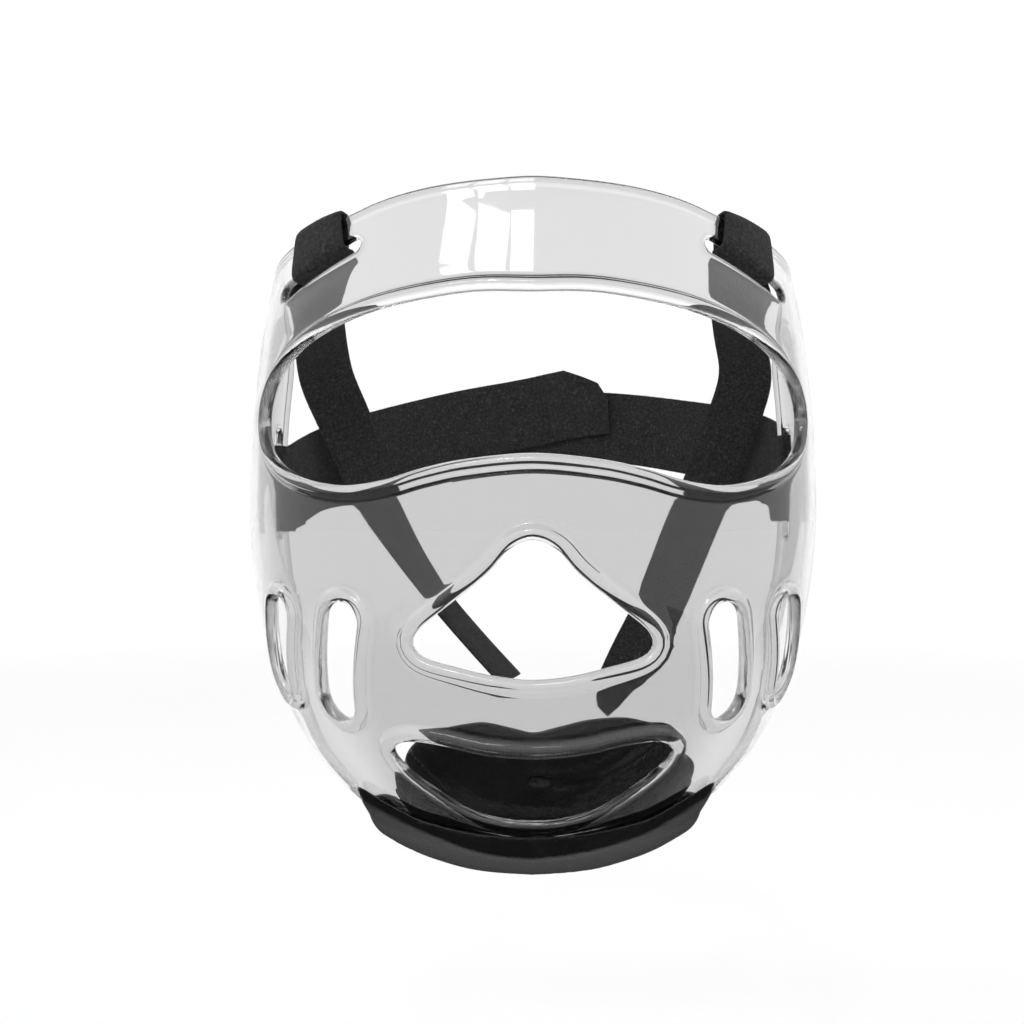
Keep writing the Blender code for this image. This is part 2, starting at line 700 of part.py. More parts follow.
def main():
    clear_scene()
    parts = new_collection("face_guard")
    cutters = new_collection("cutters")
    cloth = new_material("strap_cloth", STRAP_CLOTH)
    finish_part(make_shell(parts, cutters), new_material("clear_plastic", CLEAR_PLASTIC))
    finish_part(make_roll(parts, cutters), new_material("black_vinyl", BLACK_VINYL))
    finish_part(make_cup(parts, cutters), new_material("cup_vinyl", CUP_VINYL))
    straps = (
        ("crown_strap_left", crown_strap_rows(LEFT_STRAP_ROUTE, LEFT_STRAP_END)),
        ("crown_strap_right", crown_strap_rows(RIGHT_STRAP_ROUTE, RIGHT_STRAP_END)),
        ("rear_band_left", rear_band_rows(LEFT_BAND_LEVELS, -1, LEFT_BAND_ENDS)),
        ("rear_band_right", rear_band_rows(RIGHT_BAND_LEVELS, 1, RIGHT_BAND_ENDS)),
    )
    for name, rows in straps:
        finish_part(ribbon(name, rows, parts), cloth)


main()
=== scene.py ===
"""Looks of a clear face guard with a padded chin and black hook-and-loop straps.

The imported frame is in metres, +Z up, the front faces -Y. The tables repeat the construction in millimetres.
"""

import math
from collections import namedtuple

import bpy
import bmesh
import numpy as np
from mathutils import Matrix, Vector
from mathutils.geometry import delaunay_2d_cdt


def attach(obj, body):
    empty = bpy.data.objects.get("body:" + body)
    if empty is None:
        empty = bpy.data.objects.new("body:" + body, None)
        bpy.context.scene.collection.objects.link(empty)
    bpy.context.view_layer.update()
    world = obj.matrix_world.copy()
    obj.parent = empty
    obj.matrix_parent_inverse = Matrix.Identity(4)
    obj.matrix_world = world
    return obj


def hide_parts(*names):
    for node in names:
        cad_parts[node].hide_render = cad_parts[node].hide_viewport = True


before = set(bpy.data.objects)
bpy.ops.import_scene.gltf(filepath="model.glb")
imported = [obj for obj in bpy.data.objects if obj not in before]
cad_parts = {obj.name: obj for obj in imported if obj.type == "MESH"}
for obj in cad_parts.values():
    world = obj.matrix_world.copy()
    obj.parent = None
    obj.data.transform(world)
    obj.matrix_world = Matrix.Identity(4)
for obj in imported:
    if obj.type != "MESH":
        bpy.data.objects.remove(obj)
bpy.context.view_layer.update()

MM = 0.001
UP = np.array((0.0, 0.0, 1.0))


def table(fields, *rows):
    """Rows of a table whose columns have names."""
    kind = namedtuple("Row", fields)
    return [kind(*row) for row in rows]


# The photograph's view: the camera looks along +Y from in front of the nose
VIEW_DISTANCE = 0.435
FOCAL_PIXELS = 1145.0  # focal length in pixels of the 1024 pixel frame
AXIS_PIXEL = (533.0, 525.0)  # where the object's middle axis meets the frame
FRAME_PIXELS = 1024.0
SENSOR = 36.0

# Clear shell
WALL = 2.5
PLAN_POWER = 2.2
REAR_ANGLE = 104.0
RIM_RADIUS = 2.2
RIM_OUT = RIM_RADIUS - WALL / 2
FLAT_SCALE = (1.62, 1.0)  # millimetres per degree and per millimetre of height in the flat layout
SHELL_STEP = 2.4  # spacing of the points on the open wall
SHELL_CENTRE = -25.0  # the middle of the plan sections
WALL_WAVE = 0.03  # height of the wall's faint unevenness
WALL_CLARITY = 0.57  # share of the light that the wall lets through
# Painted light: the forehead, jaw and sides get their own clarity, which paints the lighter and darker tones
# that light and reflections give the wall there
FOREHEAD_PAINTED_CLARITY = 0.67
FOREHEAD_RISE = (42, 60)  # heights over which the wall turns into the forehead
SIDE_PAINTED_CLARITY = 0.86
SIDE_TURN = (56, 74)  # angles over which it turns into the sides
JAW_PAINTED_CLARITY = 0.80
JAW_TURN = (34, 52)
JAW_DROP = (22, 52)
# Painted light: the paler clear tone of the rims and edges
EDGE_PAINTED_CLARITY = 0.60
EDGE_STEP = 1.5  # spacing of the points along an edge
SLOT_STEP = 0.9  # the same along a plain slot
END_STEPS = 14  # steps round a slot's end
FEWEST_POINTS = 12  # of a loop
CURVE_POINTS = 12  # points per span of an opening's outline
CORNER_PASSES = 14  # roundings of the outline's corners
OUTLINE_ANGLES = 200
OUTLINE_RISE = 50
FLAT_HEIGHTS = (-104.0, 108.0)  # lowest and highest row of points on the open wall
BORDER_SPACE = 0.62  # share of the step that stays free along a border

# Harness
STRAP_WIDTH = 22.0
BAND_WIDTH = 32.0
WEB = 1.5
SEAT_GAP = 0.85
FIT_GAP = 0.35
STRAP_STEP = 1.6  # spacing of the points along a strap
STRAP_COLUMNS = 17
BAND_COLUMNS = 21
EDGE_THINNING = 0.45  # share of its thickness that a strap loses at its edges
EDGE_SHARPNESS = 10
SHARP_ANGLE = math.radians(60)
WEAVE_MM = 10.0  # millimetres in one unit of the weave's coordinates
FIBRES_PER_MM = 42  # loose fibres on each millimetre of a strap's length
FIBRE_LENGTH = (0.25, 0.75)
FIBRE_WIDTH = 0.07
FIBRE_ROOT = 0.9  # a fibre starts at this share of half the thickness
FIBRE_LEAN = 0.45
FIBRE_LIFT = 0.4  # how far the fibres of an edge turn to its faces
EDGE_FIBRES = 0.35  # share of them along the strap's edges

SHELL_SECTIONS = table("z half_width front centre",
    (-110, 38.5, -74.0, -46.0), (-100, 48.0, -82.0, -43.0), (-87, 61.8, -91.0, -38.5),
    (-72, 75.8, -98.0, -34.0), (-50, 87.6, -103.5, -28.0), (-25, 94.5, -105.0, -25.0),
    (0, 97.3, -105.0, -25.0), (25, 97.0, -104.0, -25.0), (50, 95.0, -101.0, -25.0),
    (75, 91.5, -96.5, -25.0), (106, 84.0, -88.0, -25.0),
)

SHELL_EDGES = table("angle bottom top",
    (0, -101.2, 106.0), (25, -100.0, 103.5), (40, -97.2, 100.0), (49, -94.7, 95.9), (54, -92.8, 94.6),
    (60, -90.2, 92.6), (67, -87.6, 90.4), (73, -85.4, 88.8), (80, -80.5, 86.5), (88, -70.5, 82.5),
    (96, -54.0, 75.5), (REAR_ANGLE, -29.5, 62.0),
)

# Clear edges of the middle openings, right half, from top to bottom
EYE_OPENING = table("angle z",
    (0, 68.5), (13, 68.6), (25, 66.8), (36, 64.0), (46, 59.6), (55, 53.2), (61.5, 45.0), (63.8, 35.5),
    (61.5, 25.5), (55.5, 18.4), (48, 14.0), (39.5, 11.9), (31, 13.2), (23, 16.4), (14, 19.0), (0, 20.7),
)
NOSE_VENT = table("angle z",
    (0, -4.3), (4.6, -6.8), (8.6, -13.0), (13, -18.5), (18.5, -24.6), (23.4, -30.2), (25.0, -34.6),
    (22.8, -38.4), (15.4, -41.3), (7.5, -43.6), (0, -44.5),
)
MOUTH_VENT = table("angle z",
    (0, -68.0), (12, -66.9), (22, -64.4), (30, -63.8), (34.5, -66.6), (33.6, -71.6), (28.0, -78.6),
    (20, -85.2), (10, -88.2), (0, -88.9),
)

SIDE_SLOTS = table("name top_angle top_z low_angle low_z width rim",
    ("cheek", 40.4, -28.6, 44.4, -52.6, 11.4, True), ("jaw", 58.5, -27.5, 64.0, -49.0, 10.6, True),
    ("temple", 98.6, 33.5, 98.6, -2.5, 4.6, False), ("crown", 43.9, 85.9, 62.6, 74.2, 4.6, False),
)

# Middles of the top straps along their way, and the directions of their width
LEFT_STRAP_ROUTE = table("x y z wide_x wide_y wide_z",
    (-66.5, -59.5, 80.8, 0.80, -0.42, 0.42), (-73.8, -36.0, 80.0, 0.82, -0.24, 0.49),
    (-79.3, -10.0, 77.2, 0.76, 0.05, 0.60), (-82.4, 10.0, 70.0, 0.80, 0.25, 0.52),
    (-82.6, 26.0, 58.0, 0.86, 0.35, 0.36), (-76.4, 36.0, 40.5, 0.86, 0.36, 0.36),
    (-67.8, 47.0, 14.7, 0.62, 0.70, 0.36), (-55.3, 52.0, -8.5, 0.42, 0.86, 0.25),
    (-40.4, 52.0, -30.2, 0.27, 0.94, 0.20), (-24.5, 49.0, -48.6, 0.23, 0.95, 0.20),
    (-9.3, 44.7, -64.6, 0.22, 0.95, 0.20),
)
RIGHT_STRAP_ROUTE = table("x y z wide_x wide_y wide_z",
    (67.0, -60.0, 80.8, -0.80, -0.42, 0.42), (71.0, -36.0, 79.6, -0.86, -0.20, 0.47),
    (75.5, -10.0, 77.6, -0.88, 0.05, 0.48), (80.0, 8.0, 71.5, -0.88, 0.22, 0.44),
    (84.0, 19.0, 59.5, -0.84, 0.42, 0.32), (82.0, 26.0, 46.5, -0.84, 0.48, 0.20),
    (75.0, 40.0, 21.0, -0.95, 0.20, 0.24), (65.0, 47.0, -5.0, -0.90, 0.25, 0.34),
    (53.8, 50.0, -33.5, -0.80, 0.45, 0.36), (42.4, 49.0, -57.0, -0.84, 0.34, 0.38),
    (31.4, 46.0, -80.6, -0.84, 0.30, 0.38),
)
ROWS_PER_STATION = 4
ROUTE_COLUMNS = 9
NEAR_STATION = 0.1  # half the span that tells a route's direction
LEAST_LENGTH = 0.2  # between rows, so that none share a place
CUT_SHARES = (-1.0, -0.5, 0.0, 0.5, 1.0)  # places across a strap where its end is cut
LEFT_STRAP_END = (0.0, 0.0, 0.0, 0.0, 0.0)  # stations cut off there
RIGHT_STRAP_END = (1.3, 0.6, 0.0, 0.13, 0.5)
CUT_REACH = 1.5  # stations over which a pointed end tapers
CROWN_OUTER_ANGLE = 59.4
CROWN_INNER_ANGLE = 46.2
CROWN_LEAN = 2.6
FOLD_REACH = (0.75, 1.4, 1.9, 2.3)  # stations of a folded end, and its rise off the strap
FOLD_LIFT = (3.7, 1.85, 1.85, 1.85)

LEFT_BAND_LEVELS = table("turn z",
    (0, 13.5), (12, 15.0), (25, 23.0), (45, 34.0), (70, 46.0), (90, 53.0), (100, 56.5), (111, 58.5),
)
RIGHT_BAND_LEVELS = table("turn z",
    (0, 17.5), (12, 24.0), (25, 31.0), (45, 38.5), (70, 45.5), (90, 46.5), (104, 44.0), (114, 40.0),
)
BAND_HALF_WIDTH = 98.0
BAND_START = -6.0
BAND_BACK = 104.0
BAND_GAP = 0.95
BAND_OVERLAP = (40.0, 60.0)
LEFT_BAND_ENDS = (111.0, 111.0, 111.0, 108.5, 100.0)
RIGHT_BAND_ENDS = (114.0, 114.0, 114.0, 114.0, 114.0)
BAND_FOLD_TURNS = (14.0, 9.8)  # rows of the folded end, inside the wall
BAND_TURNS = [20.0 + 6.5 * k for k in range(12)]  # rows behind the shell
TEMPLE_BAR = 99.96  # angle of the slot's edge, where the bar begins
BAR_FLAT = WALL / 2 + SEAT_GAP + WEB / 2  # from the middle of a bar to the middle of its strap
BAR_EDGE = SEAT_GAP + WEB / 2
BAR_INSET = 1.0

# Chin padding
LONGEST_REACH = 30.0  # of a search along a line, and its number of halvings
HALVINGS = 40
ROLL_LEFT_END = 61.5
ROLL_RIGHT_END = 63.0
ROLL_HEIGHT = 13.0
ROLL_DEPTH = 13.0
ROLL_POWER = 2.4
ROLL_TAPER_FROM = 40.0
ROLL_TAPER = 0.30
ROLL_LIP = 2.8  # how far the cover's outer side climbs up the wall
LEFT_END_LIP = 10.0
RIGHT_END_LIP = 11.0
ROLL_CAP = 0.90  # the rounded ends begin at this share of the way
ROLL_CAP_LOSS = 0.9  # how much of the roll's section they round away
ROLL_STATIONS = 320
ROLL_AROUND = 90
GROOVE_GAP = 0.42
GROOVE_STEPS = 5
THINNEST_COVER = 0.8  # beside the groove at the roll's ends
LIP_TURN = 0.1  # turn at which the outer side begins to climb
LIP_LEAST = 0.6  # the smallest turn over which it does
BEND_TOP = 18.0
BEND_STEPS = 13
CREASE_DEPTH = 0.25
CREASE_WIDTH = 0.45
OUTSIDE_TURN = -0.75 * math.pi  # where the roll's outer side ends
SATIN_FADE = (-0.2, 0.9)
SATIN_CALM = 0.8  # share of the wrinkles that the satin face lacks
COVER_POWER = 0.35  # how soon the wrinkles fade towards the groove
CUP_THICK = 8.0
CUP_GAP = 0.5
CUP_POWER = 3.2
CUP_ABOVE_EDGE = 3.2
CUP_STATIONS = 260
CUP_AROUND = 130
CUP_HEIGHT = 32.0  # usual height of the cup, which spreads its points
CUP_END_POWER = 12  # how late the cup thins towards its ends
CUP_THINNEST = 0.1
CUP_INSET = 0.45  # the face's mean depth under the cup's full thickness
CUP_SWELL_HEIGHT = 0.2
CRUMPLE_HEIGHT = 0.45
LEAST_DEPTH = 0.05  # share of the roll's section where points are still pushed out
FACE_POWER = 0.5  # how soon the relief fades towards the cup's edges
CUP_EDGES = table("angle top",
    (-44.5, -83.0), (-42, -78.5), (-38, -75.0), (-34, -69.5), (-27.5, -64.7), (-22, -62.3), (-16.5, -60.6),
    (-12, -60.0), (-5, -61.8), (0, -63.2), (7, -61.2), (14, -59.2), (23, -58.9), (30.5, -61.3),
    (35.5, -62.8), (38, -66.5), (41, -70.5), (44, -73.0), (48.3, -75.5), (51, -81.0),
)


def blend(xs, ys, x):
    """Smooth curve through the points of a short table, for a number or an array."""
    xs, ys = np.asarray(xs, float), np.asarray(ys, float)
    slope = np.empty_like(ys)
    slope[1:-1] = (ys[2:] - ys[:-2]) / (xs[2:] - xs[:-2])
    slope[0] = (ys[1] - ys[0]) / (xs[1] - xs[0])
    slope[-1] = (ys[-1] - ys[-2]) / (xs[-1] - xs[-2])
    x = np.clip(x, xs[0], xs[-1])
    i = np.clip(np.searchsorted(xs, x, side="right") - 1, 0, len(xs) - 2)
    span = xs[i + 1] - xs[i]
    t = (x - xs[i]) / span
    rise = (2 * t ** 3 - 3 * t ** 2 + 1) * ys[i] + (3 * t ** 2 - 2 * t ** 3) * ys[i + 1]
    return rise + span * ((t ** 3 - 2 * t ** 2 + t) * slope[i] + (t ** 3 - t ** 2) * slope[i + 1])


def column(rows, name):
    return [getattr(row, name) for row in rows]


def lookup(rows, key, name, x):
    return blend(column(rows, key), column(rows, name), x)


def edge_z(name, angle):
    """Height of the shell's top or bottom edge."""
    return lookup(SHELL_EDGES, "angle", name, np.abs(angle))


def reach_along(steps):
    """Distances of points from the first one, from the steps between them."""
    return np.concatenate(((0.0,), np.cumsum(steps)))


def read_columns(points, reach, places):
    """Each column of the points, read at places along their reach."""
    return np.stack([np.interp(places, reach, values) for values in np.transpose(points)], axis=1)


def pairs(a, b):
    return np.stack((a, b), axis=-1)


def unit(v):
    return v / np.maximum(np.linalg.norm(v, axis=-1, keepdims=True), 1e-9)


def shell_point(angle, z, out=0.0):
    """Points on the shell's middle surface, or out millimetres outside it, for numbers or arrays."""
    angle, z = np.broadcast_arrays(np.asarray(angle, float), np.asarray(z, float))
    names = ("half_width", "centre", "front")
    half_width, centre, front = (lookup(SHELL_SECTIONS, "z", name, z) for name in names)
    depth = centre - front
    a = np.radians(angle)
    side, ahead = np.abs(np.sin(a)) / half_width, np.abs(np.cos(a)) / depth
    reach = (side ** PLAN_POWER + ahead ** PLAN_POWER) ** (-1 / PLAN_POWER)
    point = np.stack((reach * np.sin(a), centre - reach * np.cos(a), z), axis=-1)
    if np.any(out):
        point = point + shell_normal(angle, z) * np.asarray(out)[..., None]
    return point


def shell_normal(angle, z, step=0.5):
    across = shell_point(angle + step, z) - shell_point(angle - step, z)
    up = shell_point(angle, z + step) - shell_point(angle, z - step)
    return unit(np.cross(across, up))


def shell_reach(angle, z, step=0.5):
    """Local radius of the plan section, which turns degrees into millimetres along the wall."""
    ahead, behind = shell_point(angle + step, z), shell_point(angle - step, z)
    return np.linalg.norm(ahead - behind, axis=-1) / math.radians(2 * step)


def full_outline(half):
    """Closed outline from its right half."""
    right = [(row.angle, row.z) for row in half]
    left = [(-angle, z) for angle, z in reversed(right[1:-1])]
    return right + left


def slot_outline(slot):
    """Outline of a slot with half round ends."""
    reach = shell_reach((slot.top_angle + slot.low_angle) / 2, (slot.top_z + slot.low_z) / 2)
    per_degree = math.radians(reach)
    run = unit(np.array(((slot.low_angle - slot.top_angle) * per_degree, slot.low_z - slot.top_z)))
    outline = []
    for end, angle, z in ((-1, slot.top_angle, slot.top_z), (1, slot.low_angle, slot.low_z)):
        for k in range(END_STEPS + 1):
            turn = math.pi * (k / END_STEPS - 0.5)
            offset = run * (end * math.cos(turn)) + np.array((run[1], -run[0])) * (end * math.sin(turn))
            outline.append((angle + offset[0] * slot.width / 2 / per_degree, z + offset[1] * slot.width / 2))
    return outline


def through(a, b, c, d, t):
    """Smooth curve from b to c at the share t, with the points before and after them."""
    return (b * 2 + (c - a) * t + (a * 2 - b * 5 + c * 4 - d) * t * t + (b * 3 - a - c * 3 + d) * t ** 3) / 2


def closed_curve(points):
    """Closed smooth curve through a list of (angle, z) pairs."""
    here = np.array(points, float)
    before, after, later = np.roll(here, 1, 0), np.roll(here, -1, 0), np.roll(here, -2, 0)
    spans = [through(before, here, after, later, k / CURVE_POINTS) for k in range(CURVE_POINTS)]
    return np.stack(spans, axis=1).reshape(-1, 2)


def even_loop(loop, step):
    """The closed loop with points at even distances along the wall, about step millimetres apart."""
    places = shell_point(*loop.T)
    steps = np.linalg.norm(np.roll(places, -1, 0) - places, axis=1)
    reach = reach_along(steps)
    count = max(int(round(reach[-1] / step)), FEWEST_POINTS)
    return read_columns(np.vstack((loop, loop[:1])), reach, np.arange(count) * reach[-1] / count)


def grown_loop(loop, distance):
    """The loop moved outwards by a distance in millimetres along the wall."""
    reach = np.radians(shell_reach(*loop.T))
    scale = pairs(reach, np.ones_like(reach))
    mean = (reach.mean(), 1.0)
    flat = loop * mean
    after, before = np.roll(flat, -1, 0), np.roll(flat, 1, 0)
    side = 1 if np.sum(flat[:, 0] * after[:, 1] - after[:, 0] * flat[:, 1]) > 0 else -1
    along = unit((after - before) / mean * scale)
    return loop + pairs(along[:, 1], -along[:, 0]) * side / scale * distance


def smoothed(loop, times):
    """Corners of a closed loop rounded off by averaging with the neighbours."""
    for _ in range(times):
        loop = (np.roll(loop, 1, 0) + 2 * loop + np.roll(loop, -1, 0)) / 4
    return loop


def shell_outline():
    """Outer edge of the shell as one closed loop of (angle, z) pairs."""
    angles = np.linspace(-REAR_ANGLE, REAR_ANGLE, OUTLINE_ANGLES)
    bottom, top = (pairs(angles, edge_z(name, angles)) for name in ("bottom", "top"))
    rise = np.linspace(SHELL_EDGES[-1].bottom, SHELL_EDGES[-1].top, OUTLINE_RISE)[1:-1]
    right = pairs(np.full_like(rise, REAR_ANGLE), rise)
    left = (right * (-1, 1))[::-1]
    return smoothed(even_loop(np.vstack((bottom, right, top[::-1], left)), EDGE_STEP), CORNER_PASSES)


def opening_loops():
    """Clear edge of every opening, and whether it has a raised rim."""
    loops = [(closed_curve(full_outline(half)), True) for half in (EYE_OPENING, NOSE_VENT, MOUTH_VENT)]
    for slot in SIDE_SLOTS:
        right = np.array(slot_outline(slot))
        loops += [(right, slot.rim), (right * (-1, 1), slot.rim)]
    return [(even_loop(loop, EDGE_STEP if rim else SLOT_STEP), rim) for loop, rim in loops]


RIM_REACH = 6.2  # the rim's foot runs out this far from the clear edge
LIP_REACH = 2.2  # the same for a plain slot
EDGE_REACH = 3.8  # and for the shell's outer edge
EDGE_RADIUS = 1.55
CREST = 3.6  # the rim's painted clear tone ends this far from the edge
RIM_INSIDE = (4.6, -WALL / 2)
# From the top of the rim down to the outside wall
RIM_CREST = ((2.9, 3.02), (3.5, 2.66), (4.0, 2.18), (4.4, 1.76), (4.9, 1.45), (5.6, 1.30))
EDGE_INSIDE = (2.7, -WALL / 2 - 0.06)


def half_round(radius, steps=8, rise=0.0):
    """Half circle from the inside of the wall over the clear edge to the outside."""
    turns = [math.radians(270 - 180 * k / steps) for k in range(steps + 1)]
    return [(radius * (1 + math.cos(turn)), rise + radius * math.sin(turn)) for turn in turns]


def rim_profile():
    """(distance from the clear edge, height out of the wall), from the inside wall round to the outside."""
    inside = [(RIM_REACH, -WALL / 2), RIM_INSIDE]
    return inside + half_round(RIM_RADIUS, 12, RIM_OUT) + list(RIM_CREST) + [(RIM_REACH, WALL / 2)]


def lip_profile():
    """The same for a plain slot, whose edge is a half round as thick as the wall."""
    return [(LIP_REACH, -WALL / 2)] + half_round(WALL / 2) + [(LIP_REACH, WALL / 2)]


def edge_profile():
    """The same for the outer edge of the shell, which swells into a slight bead."""
    inside = [(EDGE_REACH, -WALL / 2), EDGE_INSIDE]
    return inside + half_round(EDGE_RADIUS) + [(out, -height) for out, height in reversed(inside)]


def inside_loop(points, loop):
    """Which of the flat points lie inside a closed loop."""
    x, y = points[:, 0], points[:, 1]
    inside = np.zeros(len(points), bool)
    for (x0, y0), (x1, y1) in zip(loop, np.roll(loop, -1, 0)):
        crosses = (y0 > y) != (y1 > y)
        if crosses.any():
            inside ^= crosses & (x < (x1 - x0) * (y - y0) / (y1 - y0 + 1e-12) + x0)
    return inside


def near_loop(points, loop, distance):
    """Which of the flat points lie nearer to the loop's points than a distance."""
    near = np.zeros(len(points), bool)
    for part in np.array_split(loop, max(len(loop) // 64, 1)):
        gap = np.linalg.norm(points[:, None] - part[None], axis=2).min(axis=1)
        near |= gap < distance
    return near


def new_object(name, data):
    thing = bpy.data.objects.new(name, data)
    bpy.context.scene.collection.objects.link(thing)
    return thing


def face_outward(mesh):
    bm = bmesh.new()
    bm.from_mesh(mesh)
    bmesh.ops.recalc_face_normals(bm, faces=bm.faces)
    bm.to_mesh(mesh)
    bm.free()
    mesh.shade_smooth()


def mesh_object(name, points, faces):
    """Smooth closed mesh from points in millimetres."""
    mesh = bpy.data.meshes.new(name)
    mesh.from_pydata((np.asarray(points) * MM).tolist(), [], faces)
    mesh.validate()
    face_outward(mesh)
    return new_object(name, mesh)


def add_attribute(thing, name, values):
    layer = thing.data.attributes.new(name, 'FLOAT', 'POINT')
    layer.data.foreach_set("value", np.asarray(values, dtype=np.float32))


def ring_faces(first, count, around):
    """Quads between closed rings of points that follow each other, from the number of the first point."""
    faces = []
    for a in range(first, first + (count - 1) * around, around):
        for c in range(around):
            n = (c + 1) % around
            faces.append((a + c, a + n, a + around + n, a + around + c))
    return faces


def ease(x, start, end):
    """Smooth step from 0 at start to 1 at end."""
    t = np.clip((np.asarray(x, float) - start) / (end - start), 0, 1)
    return t * t * (3 - 2 * t)


def wall_clarity_and_painted_light(angle, z):
    """Share of the light that the wall lets through, by place: the wall's plain tint with painted light,
    clearest at the sides and the jaw.
    """
    clarity_and_painted_light = WALL_CLARITY + (FOREHEAD_PAINTED_CLARITY - WALL_CLARITY) * ease(z, *FOREHEAD_RISE)
    clarity_and_painted_light = clarity_and_painted_light + (JAW_PAINTED_CLARITY - clarity_and_painted_light) * ease(np.abs(angle), *JAW_TURN) * ease(-z, *JAW_DROP)
    return clarity_and_painted_light + (SIDE_PAINTED_CLARITY - clarity_and_painted_light) * ease(np.abs(angle), *SIDE_TURN)


def loop_rings(loop, profile, direction):
    """Rings round a loop, from the inside wall to the outside wall: points, clarity with its painted light,
    and the last ring.
    """
    points, clarity_and_painted_light = [], []
    foot = profile[-1][0]
    for distance, out in profile:
        ring = grown_loop(loop, distance * direction)
        points.extend(shell_point(*ring.T, out))
        away = ease(distance, min(CREST, foot / 2), foot)
        clarity_and_painted_light.extend(EDGE_PAINTED_CLARITY + (wall_clarity_and_painted_light(*ring.T) - EDGE_PAINTED_CLARITY) * away)
    return points, clarity_and_painted_light, ring


def on_wall(points, loops):
    """Which of the flat points lie inside the outline and outside every opening."""
    keep = inside_loop(points, loops[0])
    for loop in loops[1:]:
        keep &= ~inside_loop(points, loop)
    return keep


def flat_grid(loops):
    """Even points of the open wall, laid flat, that stay clear of the loops."""
    width = REAR_ANGLE * FLAT_SCALE[0]
    grid = []
    for r, z in enumerate(np.arange(*FLAT_HEIGHTS, SHELL_STEP * math.sqrt(0.75))):
        shift = SHELL_STEP / 2 * (r % 2)
        grid.extend((x + shift, z) for x in np.arange(-width, width, SHELL_STEP))
    grid = np.array(grid)
    keep = on_wall(grid, loops)
    for loop in loops:
        keep &= ~near_loop(grid, loop, SHELL_STEP * BORDER_SPACE)
    return grid[keep]


def flat_triangles(loops, grid):
    """Triangles over the open wall, by the numbers of the loops' points and then the grid's."""
    edges = []
    start = 0
    for loop in loops:
        edges.extend((start + k, start + (k + 1) % len(loop)) for k in range(len(loop)))
        start += len(loop)
    layout = [Vector(p) for p in np.vstack(loops + [grid])]
    flat_points, _, triangles, origin, _, _ = delaunay_2d_cdt(layout, edges, [], 0, 1e-6)
    triangles = np.array(triangles)
    middle = np.array([p[:] for p in flat_points])[triangles].mean(axis=1)
    source = np.array([ids[0] for ids in origin])
    return source[triangles[on_wall(middle, loops)]].tolist()


def make_shell():
    """Clear wall with a rim round each opening, and a bead or a half round along each other edge."""
    borders = [(shell_outline(), edge_profile(), -1)]
    borders += [(loop, rim_profile() if rim else lip_profile(), 1) for loop, rim in opening_loops()]
    points, faces, clarity_and_painted_light, inner, outer, loops = [], [], [], [], [], []
    for loop, profile, direction in borders:
        first, count = len(points), len(loop)
        added, tones, foot = loop_rings(loop, profile, direction)
        points += added
        clarity_and_painted_light += tones
        faces += ring_faces(first, len(profile), count)
        inner += range(first, first + count)
        outer += range(len(points) - count, len(points))
        loops.append(foot * FLAT_SCALE)
    grid = flat_grid(loops)
    places = (grid / FLAT_SCALE).T
    for out, side in ((-WALL / 2, inner), (WALL / 2, outer)):
        side += range(len(points), len(points) + len(grid))
        points += list(shell_point(*places, out))
        clarity_and_painted_light += list(wall_clarity_and_painted_light(*places))
    for a, b, c in flat_triangles(loops, grid):
        faces += [(outer[a], outer[b], outer[c]), (inner[c], inner[b], inner[a])]
    points = np.array(points)
    flow = waves(points, SHELL_FLOW) * WALL_WAVE
    points = points + unit(points * (1, 1, 0) - (0, SHELL_CENTRE, 0)) * flow[:, None]
    shell = mesh_object("clear_shell", points, faces)
    # The stored clarity holds the wall's plain tint and painted light on the forehead, sides, jaw and rims
    add_attribute(shell, "clarity_and_painted_light", clarity_and_painted_light)
    return shell


def refined(rows, step, across):
    """Rows of points run through with smooth curves, about step millimetres apart and with more columns."""
    rows = np.array(rows, float)
    middle = rows[:, rows.shape[1] // 2]
    lengths = np.maximum(np.linalg.norm(np.diff(middle, axis=0), axis=1), LEAST_LENGTH)
    reach = reach_along(lengths)
    places = [0.0]
    for start, length in zip(reach, lengths):
        count = max(int(math.ceil(length / step)), 2)
        places.extend(start + length * (k + 1) / count for k in range(count))
    places = np.array(places)
    fine = np.stack([[blend(reach, rows[:, c, k], places) for k in range(3)] for c in range(rows.shape[1])])
    fine = np.transpose(fine, (2, 0, 1))
    columns = np.linspace(-1, 1, rows.shape[1])
    wide = np.linspace(-1, 1, across)
    return np.stack([read_columns(row, columns, wide) for row in fine]), places


def fibres(grid, normal, count, seed):
    """Thin triangles that stand out of a strap's faces and edges like a worn nap: points, in threes."""
    pick = np.random.default_rng(seed)
    r = pick.integers(0, len(grid) - 1, count)
    share = pick.uniform(0, 1, count)
    edge = pick.uniform(0, 1, count) < EDGE_FIBRES
    c = pick.integers(0, grid.shape[1] - 1, count)
    c[edge] = np.where(pick.uniform(0, 1, edge.sum()) < 0.5, 0, grid.shape[1] - 2)
    root = grid[r, c] + (grid[r + 1, c] - grid[r, c]) * share[:, None]
    root = root + (grid[r, c + 1] - grid[r, c]) * np.where(edge & (c > 0), 1.0, 0.5 * ~edge)[:, None]
    away = normal[r, c] * np.where(pick.uniform(0, 1, count) < 0.5, 1.0, -1.0)[:, None]
    out = np.where(c == 0, -1.0, 1.0)[:, None] * unit(grid[r, c + 1] - grid[r, c])
    root = root + away * np.where(edge, 0.0, WEB / 2 * FIBRE_ROOT)[:, None]
    lean = pick.normal(size=(count, 3))
    direction = unit(np.where(edge[:, None], out + away * FIBRE_LIFT, away) + lean * FIBRE_LEAN)
    length = pick.uniform(*FIBRE_LENGTH, count)[:, None]
    side = unit(np.cross(direction, lean)) * FIBRE_WIDTH / 2
    return np.stack((root - side, root + side, root + direction * length), axis=1).reshape(-1, 3), r, c


